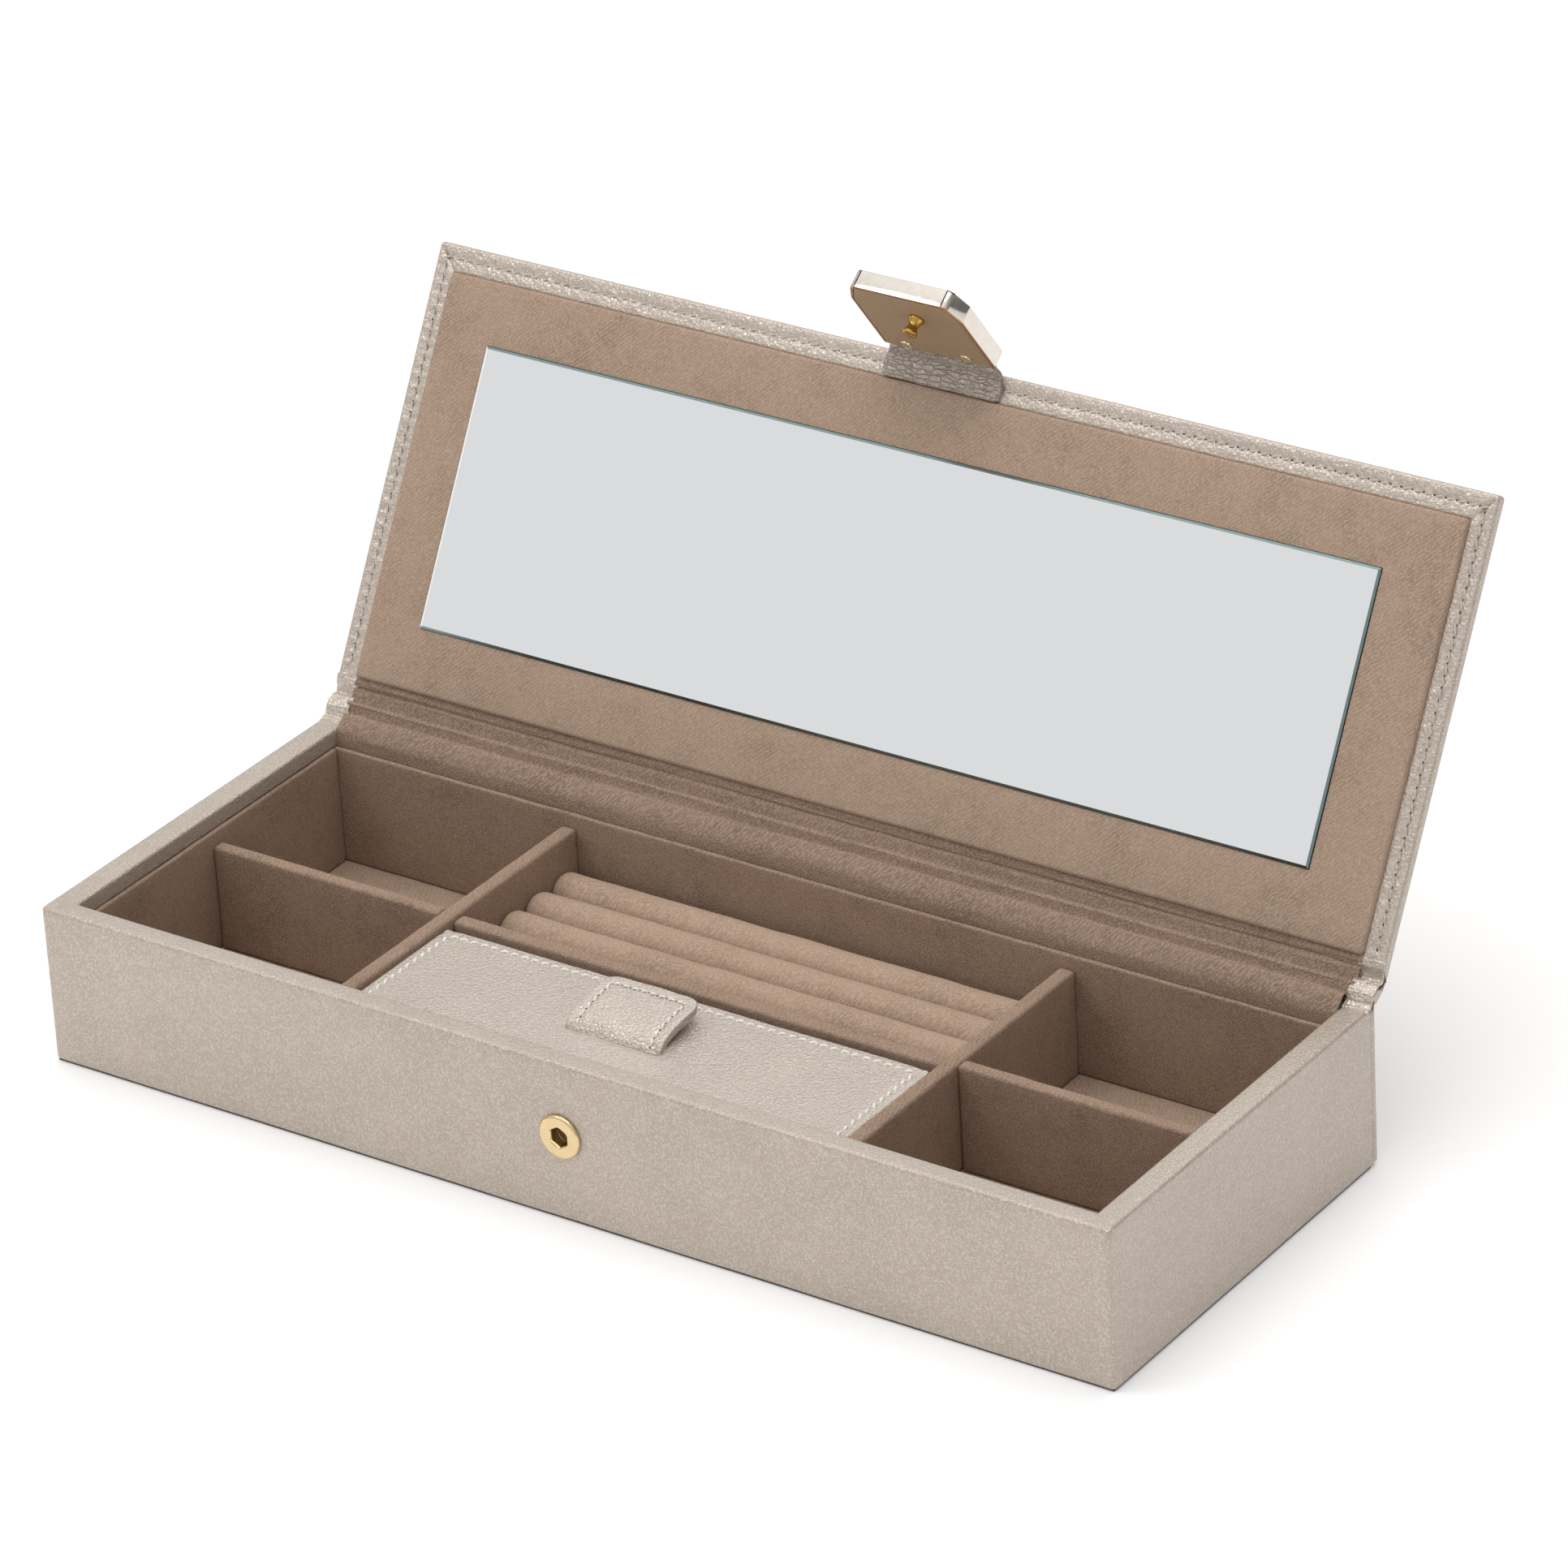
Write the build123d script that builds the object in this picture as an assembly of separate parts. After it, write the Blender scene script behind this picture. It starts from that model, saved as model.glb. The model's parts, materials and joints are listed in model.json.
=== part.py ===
"""Table-top leather jewellery case with a mirrored book-style lid, shown standing open.

Row frame: X along the width, -Y to the front, +Z up, origin at the middle of the underside.
Lengths are millimetres and angles are degrees.  Every moving leaf is drawn in its own leaf
frame (x, s, o): s runs along the leaf away from its fold and o runs towards the inner face.
"""
import os
from math import cos, radians, sin

from build123d import *

# ---- overall sizes ------------------------------------------------------------------------
WIDTH = 318.0
DEPTH = 120.8
RIM_HEIGHT = 44.4
LEATHER = 0.6
EDGE_ROUND = 1.2
GAP = 0.3

# ---- base box -----------------------------------------------------------------------------
SIDE_WALL = 7.2
FRONT_WALL = 6.4
REAR_COVER = 2.7
REAR_BOARD = 3.6
GUSSET = 0.8
FELT = 0.8
FLOOR_BOARD = 4.2
FLOOR_LINER = 1.3
LINER = 1.5
LINER_TOP = 39.8
TURN_IN_BOTTOM = 34.0
FOLD_A_HEIGHT = 43.9

# ---- dividers and fittings inside ---------------------------------------------------------
DIVIDER_X = 75.9
DIVIDER_THICK = 4.6
DIVIDER_TOP = 36.2
CROSS_THICK = 4.0
CENTRE_DIVIDER_TOP = 35.2
DIVIDER_ROUND = 1.6
ROLL_COUNT = 4
ROLL_RADIUS = 5.65
ROLL_TOP = 27.5
ROLL_BED_TOP = 13.0
ROLL_END_ROUND = 1.5
LEDGE_WIDE = 3.0
LEDGE_TOP = 31.9
LEDGE_DEEP = 5.0

# ---- inner lid and its pull tab -----------------------------------------------------------
INNER_TOP = 35.0
INNER_THICK = 2.8
INNER_LEATHER = 0.5
INNER_LINING = 0.6
INNER_BACK_Y = -5.2
INNER_FRONT_Y = -51.6
INNER_SIDE_GAP = 0.5
TAB_LEFT_X = -17.75
TAB_RIGHT_X = 10.75
TAB_ROOT_Y = -31.2
TAB_FREE_Y = -12.0
TAB_THICK = 2.0
TAB_CORNER = 3.6

# ---- lid ----------------------------------------------------------------------------------
LID_LEAN = 29.66
LID_LENGTH = 121.8
LID_THICK = 3.7
LID_SKIN = 0.5
BORDER_SIDE = 6.2
BORDER_FRONT = 7.2
PANEL_BACK_S = 5.8
PANEL_RAISE = 1.5
MIRROR_WIDE = 269.4
MIRROR_CENTRE_X = -1.4
MIRROR_S0 = 22.6
MIRROR_S1 = 97.9
MIRROR_THICK = 1.7
MIRROR_BACKING = 0.3
MIRROR_PROUD = 0.4
MIRROR_EDGE = 0.5

# ---- folding strip between base and lid ---------------------------------------------------
STRIP_LEAN = 59.0
STRIP_LENGTH = 6.3
STRIP_THICK = 3.4
STRIP_LEATHER = 0.6
STRIP_CORE = 2.0
STRIP_FOOT_GAP = 0.9
MITRE_GAP = 0.25

# ---- clasp --------------------------------------------------------------------------------
CLASP_CENTRE_X = -0.8
CLASP_WIDE = 33.4
CLASP_LONG = 29.5
CLASP_THICK = 5.2
CLASP_WALL = 0.8
CLASP_POCKET = 3.1
CLASP_CORNER_X = 2.6
CLASP_CORNER_LONG = 6.8
CLASP_EDGE = 0.35
BACKING = 1.4
CLASP_BEND = 67.0
CLASP_NEAR_S = 122.9
CLASP_NEAR_O = 7.7
CLASP_AXIS_S = 125.5
CLASP_AXIS_O = 6.3
STRAP_WIDE = 35.0
STRAP_CENTRE_X = -0.5
STRAP_THICK = 1.3
STRAP_TONGUE_WIDE = 29.0
STRAP_TONGUE_LONG = 7.5
STUD_X = 1.0
STUD_ALONG = 19.6
STUD_LENGTH = 4.9
STUD_HEAD_R = 2.0
STUD_WAIST_R = 1.35
STUD_FOOT_R = 2.1
RIVET_OFFSET = 9.0
RIVET_ALONG = 2.4
RIVET_R = 1.6
RIVET_SHANK_R = 0.7
HOLE_PLAY = 0.1

# ---- snap socket in the front wall --------------------------------------------------------
SOCKET_FLANGE_R = 6.0
SOCKET_FLANGE_THICK = 1.2
SOCKET_NECK_R = 3.3
SOCKET_BORE_R = 2.5
SOCKET_BORE_DEEP = 4.8
SOCKET_NECK_DEEP = 4.5
SPRING_WIRE_R = 0.35
SPRING_GROOVE_WALL = 0.2

# ---- derived places -----------------------------------------------------------------------
HALF_W = WIDTH / 2
FRONT_Y = -DEPTH / 2
BACK_Y = DEPTH / 2
INSIDE_X = HALF_W - SIDE_WALL
INSIDE_FRONT_Y = FRONT_Y + FRONT_WALL
BODY_BACK_Y = BACK_Y - REAR_COVER
REAR_BOARD_Y = BODY_BACK_Y - REAR_BOARD
INSIDE_BACK_Y = REAR_BOARD_Y - GUSSET
BOARD_BOTTOM = FELT
FLOOR_Z = FELT + FLOOR_BOARD
FLOOR_TOP = FLOOR_Z + FLOOR_LINER
BOARD_TOP = RIM_HEIGHT - LEATHER
COVER_TOP = FOLD_A_HEIGHT - MITRE_GAP
REAR_BOARD_TOP = COVER_TOP - GUSSET
LINER_X = INSIDE_X - LINER
LINER_FRONT_Y = INSIDE_FRONT_Y + LINER
LINER_BACK_Y = INSIDE_BACK_Y - LINER
BAY_X = DIVIDER_X - DIVIDER_THICK / 2
BAY_OUTER_X = DIVIDER_X + DIVIDER_THICK / 2
ROLL_PITCH = 2 * ROLL_RADIUS + GAP
ROLL_FIRST_Y = DIVIDER_THICK / 2 + GAP + ROLL_RADIUS
SPRING_RING_R = SOCKET_NECK_R - SPRING_GROOVE_WALL - SPRING_WIRE_R
PANEL_X = HALF_W - BORDER_SIDE
PANEL_FRONT_S = LID_LENGTH - BORDER_FRONT
CLOSED_LID_TOP = FOLD_A_HEIGHT + STRIP_LENGTH
FOLD_B_Y = BACK_Y + STRIP_LENGTH * sin(radians(STRIP_LEAN))
FOLD_B_Z = FOLD_A_HEIGHT + STRIP_LENGTH * cos(radians(STRIP_LEAN))


def block(x0, x1, y0, y1, z0, z1):
    """Box between two opposite corners."""
    return Pos((x0 + x1) / 2, (y0 + y1) / 2, (z0 + z1) / 2) * Box(x1 - x0, y1 - y0, z1 - z0)


def leaf_plane(fold_y, fold_z, lean):
    """Frame of a leaf that leans back from the vertical about a fold line along X."""
    tilt = radians(lean)
    return Plane(origin=(0, fold_y, fold_z), x_dir=(1, 0, 0), z_dir=(0, -cos(tilt), sin(tilt)))


def leaf_point(plane, s, o):
    """World point of leaf coordinates on the middle line."""
    return plane.from_local_coords(Vector(0, s, o))


def prism_x(points, x0, x1):
    """Extrude a closed outline of (second, third) coordinates along X."""
    face = make_face(Polyline(*[(0, a, b) for a, b in points], close=True))
    return Pos(x0, 0, 0) * extrude(face, amount=x1 - x0, dir=(1, 0, 0))


def closed_clasp_drop():
    """Height of the stud and of the clasp's back face once lid and clasp are folded shut."""
    turn = radians(90.0 - CLASP_BEND)
    ds = CLASP_NEAR_S - CLASP_AXIS_S
    do = CLASP_NEAR_O - CLASP_AXIS_O
    near_s = CLASP_AXIS_S + ds * cos(turn) - do * sin(turn)
    near_o = CLASP_AXIS_O + ds * sin(turn) + do * cos(turn)
    return CLOSED_LID_TOP - near_o - STUD_ALONG, BACK_Y - near_s


LID = leaf_plane(FOLD_B_Y, FOLD_B_Z, LID_LEAN)
STRIP = leaf_plane(BACK_Y, FOLD_A_HEIGHT, STRIP_LEAN)
CLASP_NEAR = leaf_point(LID, CLASP_NEAR_S, CLASP_NEAR_O)
CLASP = leaf_plane(CLASP_NEAR.Y, CLASP_NEAR.Z, LID_LEAN - CLASP_BEND)
SOCKET_Z, CLASP_CLOSED_Y = closed_clasp_drop()
NODES = {}


def keep(name, shape, plane=None):
    """Store one node, moving it out of its leaf frame when one is given."""
    NODES[name] = shape if plane is None else plane.location * shape


# ---- base ---------------------------------------------------------------------------------
def base_leather():
    """Skin over front and sides, turned over the rim and down inside."""
    skin = block(-HALF_W, HALF_W, FRONT_Y, BODY_BACK_Y, BOARD_BOTTOM, RIM_HEIGHT)
    uprights = skin.edges().filter_by(Axis.Z).sort_by(Axis.Y)[:2]
    skin = fillet(uprights, EDGE_ROUND)
    inside = block(-INSIDE_X, INSIDE_X, INSIDE_FRONT_Y, BODY_BACK_Y + GAP, 0, RIM_HEIGHT + GAP)
    skin = skin - inside
    for side in (-1, 1):
        x_out = side * (HALF_W - LEATHER)
        x_in = side * (INSIDE_X + LEATHER)
        low, high = sorted((x_out, x_in))
        skin = skin - block(low, high, FRONT_Y + LEATHER, BODY_BACK_Y + GAP, 0, BOARD_TOP)
        low, high = sorted((side * INSIDE_X, x_in))
        skin = skin - block(low, high, FRONT_Y + LEATHER, BODY_BACK_Y + GAP, 0, TURN_IN_BOTTOM)
    x_in = INSIDE_X + LEATHER
    y_in = INSIDE_FRONT_Y - LEATHER
    skin = skin - block(-x_in, x_in, REAR_BOARD_Y, BODY_BACK_Y + GAP, 0, REAR_BOARD_TOP)
    skin = skin - block(-x_in, x_in, FRONT_Y + LEATHER, y_in, 0, BOARD_TOP)
    skin = skin - block(-x_in, x_in, y_in, INSIDE_FRONT_Y, 0, TURN_IN_BOTTOM)
    return skin - socket_cut()


def socket_cut():
    """Hole through leather and board for the neck of the snap socket."""
    depth = SOCKET_NECK_DEEP + 1.0
    hole = Rot(90, 0, 0) * Cylinder(SOCKET_NECK_R, depth)
    return Pos(STUD_X, FRONT_Y + SOCKET_NECK_DEEP - depth / 2, SOCKET_Z) * hole


def build_base():
    """Boards, leather, liners and the rear cover of the box."""
    inner = INSIDE_X + LEATHER
    outer = HALF_W - LEATHER
    front_in = INSIDE_FRONT_Y - LEATHER
    keep("underside_felt", block(-outer, outer, FRONT_Y + LEATHER, BODY_BACK_Y, 0, FELT))
    keep("floor_board", block(-inner, inner, front_in, REAR_BOARD_Y, BOARD_BOTTOM, FLOOR_Z))
    walls = fillet(
        block(-outer, outer, FRONT_Y + LEATHER, front_in, BOARD_BOTTOM, BOARD_TOP)
        .edges().filter_by(Axis.Z).sort_by(Axis.Y)[:2], EDGE_ROUND - LEATHER)
    keep("front_wall_board", walls - socket_cut())
    keep("left_wall_board", block(-outer, -inner, front_in, BODY_BACK_Y, BOARD_BOTTOM, BOARD_TOP))
    keep("right_wall_board", block(inner, outer, front_in, BODY_BACK_Y, BOARD_BOTTOM, BOARD_TOP))
    keep("rear_wall_board",
         block(-inner, inner, REAR_BOARD_Y, BODY_BACK_Y, BOARD_BOTTOM, REAR_BOARD_TOP))
    keep("base_leather", base_leather())
    core = block(-outer, outer, BODY_BACK_Y, BACK_Y - LEATHER, FELT + LEATHER, COVER_TOP - LEATHER)
    shell = block(-HALF_W, HALF_W, BODY_BACK_Y, BACK_Y, FELT, COVER_TOP)
    keep("rear_cover_board", core)
    keep("rear_cover_leather", shell - core)
    gusset = block(-INSIDE_X, INSIDE_X, INSIDE_BACK_Y, REAR_BOARD_Y, TURN_IN_BOTTOM, COVER_TOP)
    gusset = gusset + block(-INSIDE_X, INSIDE_X, REAR_BOARD_Y, BODY_BACK_Y, REAR_BOARD_TOP, COVER_TOP)
    keep("gusset_lining_base", gusset)


def build_liners():
    """Suede-covered inner walls and floor."""
    keep("floor_liner", block(-INSIDE_X, INSIDE_X, INSIDE_FRONT_Y, INSIDE_BACK_Y, FLOOR_Z, FLOOR_TOP))
    keep("rear_liner", block(-INSIDE_X, INSIDE_X, LINER_BACK_Y, INSIDE_BACK_Y, FLOOR_TOP, LINER_TOP))
    for name, side in (("left", -1), ("right", 1)):
        low, high = sorted((side * LINER_X, side * INSIDE_X))
        keep(name + "_liner", block(low, high, LINER_FRONT_Y, LINER_BACK_Y, FLOOR_TOP, LINER_TOP))
        low, high = sorted((side * BAY_OUTER_X, side * INSIDE_X))
        keep("front_liner_" + name,
             block(low, high, INSIDE_FRONT_Y, LINER_FRONT_Y, FLOOR_TOP, LINER_TOP))
    keep("front_liner_centre",
         block(-BAY_OUTER_X, BAY_OUTER_X, INSIDE_FRONT_Y, LINER_FRONT_Y, FLOOR_TOP, LEDGE_TOP))


def soft_top(panel, axis):
    """Round the two long top edges of an upright panel."""
    edges = panel.edges().filter_by(axis).sort_by(Axis.Z)[-2:]
    return fillet(edges, DIVIDER_ROUND)


def build_dividers():
    """Long, cross and centre dividers with the ledges for the inner lid."""
    half = DIVIDER_THICK / 2
    for name, side in (("left", -1), ("right", 1)):
        x = side * DIVIDER_X
        panel = block(x - half, x + half, LINER_FRONT_Y, LINER_BACK_Y, FLOOR_TOP, DIVIDER_TOP)
        keep("long_divider_" + name, soft_top(panel, Axis.Y))
        low, high = sorted((side * BAY_OUTER_X, side * LINER_X))
        panel = block(low, high, -CROSS_THICK / 2, CROSS_THICK / 2, FLOOR_TOP, DIVIDER_TOP)
        keep("cross_divider_" + name, soft_top(panel, Axis.X))
        low, high = sorted((side * BAY_X, side * (BAY_X - LEDGE_WIDE)))
        keep("inner_lid_ledge_" + name,
             block(low, high, LINER_FRONT_Y, INNER_BACK_Y, LEDGE_TOP - LEDGE_DEEP, LEDGE_TOP))
    panel = block(-BAY_X, BAY_X, -half, half, FLOOR_TOP, CENTRE_DIVIDER_TOP)
    keep("centre_divider", soft_top(panel, Axis.X))


def ring_roll(y):
    """One suede ring roll: half-round top on straight flanks, with softened ends."""
    centre = ROLL_TOP - ROLL_RADIUS
    length = 2 * (BAY_X - GAP)
    top = Pos(0, y, centre) * (Rot(0, 90, 0) * Cylinder(ROLL_RADIUS, length))
    flank = block(-length / 2, length / 2, y - ROLL_RADIUS, y + ROLL_RADIUS, ROLL_BED_TOP, centre)
    roll = top + flank
    ends = [e for e in roll.edges() if e.geom_type == GeomType.CIRCLE]
    return chamfer(ends, ROLL_END_ROUND / 2)


def build_rolls():
    """Ring rolls on their bed."""
    bed_back = LINER_BACK_Y
    keep("roll_bed", block(-BAY_X, BAY_X, DIVIDER_THICK / 2, bed_back, FLOOR_TOP, ROLL_BED_TOP))
    for index in range(ROLL_COUNT):
        keep(f"ring_roll_{index + 1}", ring_roll(ROLL_FIRST_Y + index * ROLL_PITCH))


def build_socket():
    """Flanged snap socket with its spring ring, let into the front wall."""
    def disc(radius, y0, y1):
        return Pos(STUD_X, (y0 + y1) / 2, SOCKET_Z) * (Rot(90, 0, 0) * Cylinder(radius, y1 - y0))

    face_y = FRONT_Y - SOCKET_FLANGE_THICK
    flange = disc(SOCKET_FLANGE_R, face_y, FRONT_Y)
    rim = [e for e in flange.edges() if e.center().Y < face_y + 0.1]
    flange = fillet(rim, SOCKET_FLANGE_THICK * 0.6)
    body = flange + disc(SOCKET_NECK_R, FRONT_Y, FRONT_Y + SOCKET_NECK_DEEP)
    body = body - disc(SOCKET_BORE_R, face_y - GAP, face_y + SOCKET_BORE_DEEP + 0.4)
    groove_y = FRONT_Y + SOCKET_NECK_DEEP / 2
    groove = disc(SPRING_RING_R + SPRING_WIRE_R, groove_y - SPRING_WIRE_R, groove_y + SPRING_WIRE_R)
    keep("snap_socket", body - groove)
    ring = Rot(90, 0, 0) * Torus(SPRING_RING_R, SPRING_WIRE_R * 0.9)
    keep("snap_spring", Pos(STUD_X, groove_y, SOCKET_Z) * ring)


# ---- inner lid ----------------------------------------------------------------------------
def build_inner_lid():
    """Leather-covered flap over the front bay, its hinge tongue and its pull tab."""
    x = BAY_X - INNER_SIDE_GAP
    bottom = INNER_TOP - INNER_THICK
    outer = block(-x, x, INNER_FRONT_Y, INNER_BACK_Y, bottom + INNER_LINING, INNER_TOP)
    back = outer.edges().filter_by(Axis.Z).sort_by(Axis.Y)[-2:]
    outer = fillet(back, 1.0)
    skin = INNER_LEATHER
    core = block(-x + skin, x - skin, INNER_FRONT_Y + skin, INNER_BACK_Y - skin,
                 bottom + INNER_LINING, INNER_TOP - skin)
    slot = block(TAB_LEFT_X - 0.8, TAB_RIGHT_X + 0.8, TAB_ROOT_Y - 1.5, TAB_ROOT_Y + 2.3,
                 INNER_TOP - skin - 0.5, INNER_TOP + 1)
    keep("inner_lid_board", core - slot)
    keep("inner_lid_leather", outer - core - slot)
    keep("inner_lid_lining",
         block(-x + 0.8, x - 0.8, INNER_FRONT_Y + 0.8, INNER_BACK_Y - 0.8, bottom, bottom + INNER_LINING))
    tongue = block(-x, x, INSIDE_FRONT_Y, INNER_FRONT_Y - 0.6, INNER_TOP - 0.6, INNER_TOP)
    keep("inner_lid_hinge", tongue)
    keep("pull_tab", pull_tab())


def pull_tab():
    """Arched leather tab: steep at its root, nearly level at the free end."""
    y = TAB_ROOT_Y
    z = INNER_TOP
    top = [(y - 0.7, z - 0.2), (y + 0.6, z + 1.3), (y + 2.6, z + 2.9), (y + 5.2, z + 3.8),
           (y + 10.0, z + 4.75), (y + 15.0, z + 5.3), (TAB_FREE_Y, z + 5.7)]
    under = [(TAB_FREE_Y, z + 5.7 - TAB_THICK), (y + 15.3, z + 5.25 - TAB_THICK),
             (y + 10.4, z + 4.6 - TAB_THICK), (y + 6.2, z + 3.8 - TAB_THICK),
             (y + 3.6, z + 2.4 - TAB_THICK * 0.8), (y + 1.9, z + 0.55 - TAB_THICK * 0.3),
             (y + 1.1, z - 0.2)]
    edge_top = Spline(*[(0, a, b) for a, b in top])
    edge_under = Spline(*[(0, a, b) for a, b in under])
    closing = [Line(edge_top @ 1, edge_under @ 0), Line(edge_under @ 1, edge_top @ 0)]
    face = make_face([edge_top, closing[0], edge_under, closing[1]])
    body = Pos(TAB_LEFT_X, 0, 0) * extrude(face, amount=TAB_RIGHT_X - TAB_LEFT_X, dir=(1, 0, 0))
    plan = block(TAB_LEFT_X, TAB_RIGHT_X, y - 2, TAB_FREE_Y, z - 1, z + 8)
    corners = plan.edges().filter_by(Axis.Z).sort_by(Axis.Y)[-2:]
    return body & fillet(corners, TAB_CORNER)


# ---- folding strip and lid ----------------------------------------------------------------
def strip_layer(o0, o1, half_width):
    """One layer of the folding strip: mitred at the lid fold, cut back at the base fold."""
    def foot(o):
        return MITRE_GAP + (STRIP_FOOT_GAP - MITRE_GAP) * o / STRIP_THICK

    outline = [(foot(o0), o0), (STRIP_LENGTH - o0 - MITRE_GAP, o0),
               (STRIP_LENGTH - o1 - MITRE_GAP, o1), (foot(o1), o1)]
    return prism_x(outline, -half_width, half_width)


def build_strip():
    """Leather, core and suede of the narrow folding strip."""
    core_in = STRIP_LEATHER + STRIP_CORE
    core = strip_layer(STRIP_LEATHER, core_in, HALF_W - LEATHER)
    lining = strip_layer(core_in, STRIP_THICK, PANEL_X)
    keep("hinge_strip_leather", strip_layer(0, STRIP_THICK, HALF_W) - core - lining, STRIP)
    keep("hinge_strip_core", core, STRIP)
    keep("hinge_strip_lining", lining, STRIP)


def lid_edge_cut():
    """Volume kept free at the fold so that the lid clears the strip when shut."""
    reach = STRIP_THICK + MITRE_GAP
    outline = [(-5, -1), (MITRE_GAP, -1), (MITRE_GAP, 0), (reach, STRIP_THICK), (reach, 9), (-5, 9)]
    return prism_x(outline, -HALF_W - 5, HALF_W + 5)


def build_lid():
    """Board, turned leather, raised suede panel and inset mirror."""
    cut = lid_edge_cut()
    edge = LID_LENGTH - LEATHER
    inner = LID_THICK - LID_SKIN
    slab = block(-HALF_W, HALF_W, 0, LID_LENGTH, 0, LID_THICK)
    corners = slab.edges().filter_by(Axis.Z).sort_by(Axis.Y)[-2:]
    slab = fillet(corners, EDGE_ROUND)
    board = block(-HALF_W + LEATHER, HALF_W - LEATHER, -1, edge, LID_SKIN, inner)
    window = block(-PANEL_X, PANEL_X, -1, PANEL_FRONT_S, inner, LID_THICK + 1)
    keep("lid_leather", slab - board - window - cut, LID)
    keep("lid_board", board - cut, LID)
    face = LID_THICK + PANEL_RAISE
    glass_top = face + MIRROR_PROUD
    x0 = MIRROR_CENTRE_X - MIRROR_WIDE / 2
    x1 = MIRROR_CENTRE_X + MIRROR_WIDE / 2
    pocket_floor = glass_top - MIRROR_THICK - MIRROR_BACKING
    panel = block(-PANEL_X, PANEL_X, PANEL_BACK_S, PANEL_FRONT_S, inner, face)
    panel = panel - block(x0, x1, MIRROR_S0, MIRROR_S1, pocket_floor, face + 1)
    keep("lid_lining_panel", panel, LID)
    keep("mirror_backing",
         block(x0, x1, MIRROR_S0, MIRROR_S1, pocket_floor, pocket_floor + MIRROR_BACKING), LID)
    glass = block(x0, x1, MIRROR_S0, MIRROR_S1, pocket_floor + MIRROR_BACKING, glass_top)
    glass = chamfer(glass.faces().sort_by(Axis.Z)[-1].edges(), MIRROR_EDGE)
    keep("mirror_glass", glass, LID)
    gusset = block(-PANEL_X, PANEL_X, -1, PANEL_BACK_S, inner, inner + GUSSET)
    keep("gusset_lining_lid", gusset - cut, LID)


# ---- clasp --------------------------------------------------------------------------------
def clasp_outline(inset, near):
    """Plan of the clasp plate with its two cut corners, shrunk by an inset."""
    half = CLASP_WIDE / 2 - inset
    far = CLASP_LONG - inset
    slope = inset * 0.35
    points = [(-half, near), (-half, far - CLASP_CORNER_LONG + slope),
              (-half + CLASP_CORNER_X, far), (half - CLASP_CORNER_X, far),
              (half, far - CLASP_CORNER_LONG + slope), (half, near)]
    return make_face(Polyline(*[(x + CLASP_CENTRE_X, y, 0) for x, y in points], close=True))


def clasp_hole(x, s, radius, o0, o1):
    """Cylinder along the clasp's normal."""
    return Pos(x, s, (o0 + o1) / 2) * Cylinder(radius, o1 - o0)


def clasp_stud():
    """Hourglass stud with a shank through the backing."""
    profile = [(0, -BACKING), (STUD_WAIST_R, -BACKING), (STUD_WAIST_R, 0), (STUD_FOOT_R, 0),
               (STUD_FOOT_R, 0.7), (STUD_WAIST_R + 0.15, 1.5), (STUD_WAIST_R, 2.5),
               (STUD_WAIST_R + 0.2, 3.3), (STUD_HEAD_R, 4.1), (STUD_HEAD_R, 4.5),
               (STUD_HEAD_R - 0.6, STUD_LENGTH), (0, STUD_LENGTH)]
    face = make_face(Polyline(*[(r, 0, z) for r, z in profile], close=True))
    return Pos(CLASP_CENTRE_X, 0, 0) * Pos(STUD_X - CLASP_CENTRE_X, STUD_ALONG, 0) * revolve(face, Axis.Z)


def clasp_rivet(x):
    """Domed rivet through the backing and the strap's tongue."""
    depth = BACKING + STRAP_THICK
    profile = [(0, -depth), (RIVET_SHANK_R, -depth), (RIVET_SHANK_R, 0), (RIVET_R, 0),
               (RIVET_R, 0.2), (RIVET_R * 0.75, 0.45), (RIVET_R * 0.35, 0.3), (0, 0.3)]
    face = make_face(Polyline(*[(r, 0, z) for r, z in profile], close=True))
    return Pos(x, RIVET_ALONG, 0) * revolve(face, Axis.Z)


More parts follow.
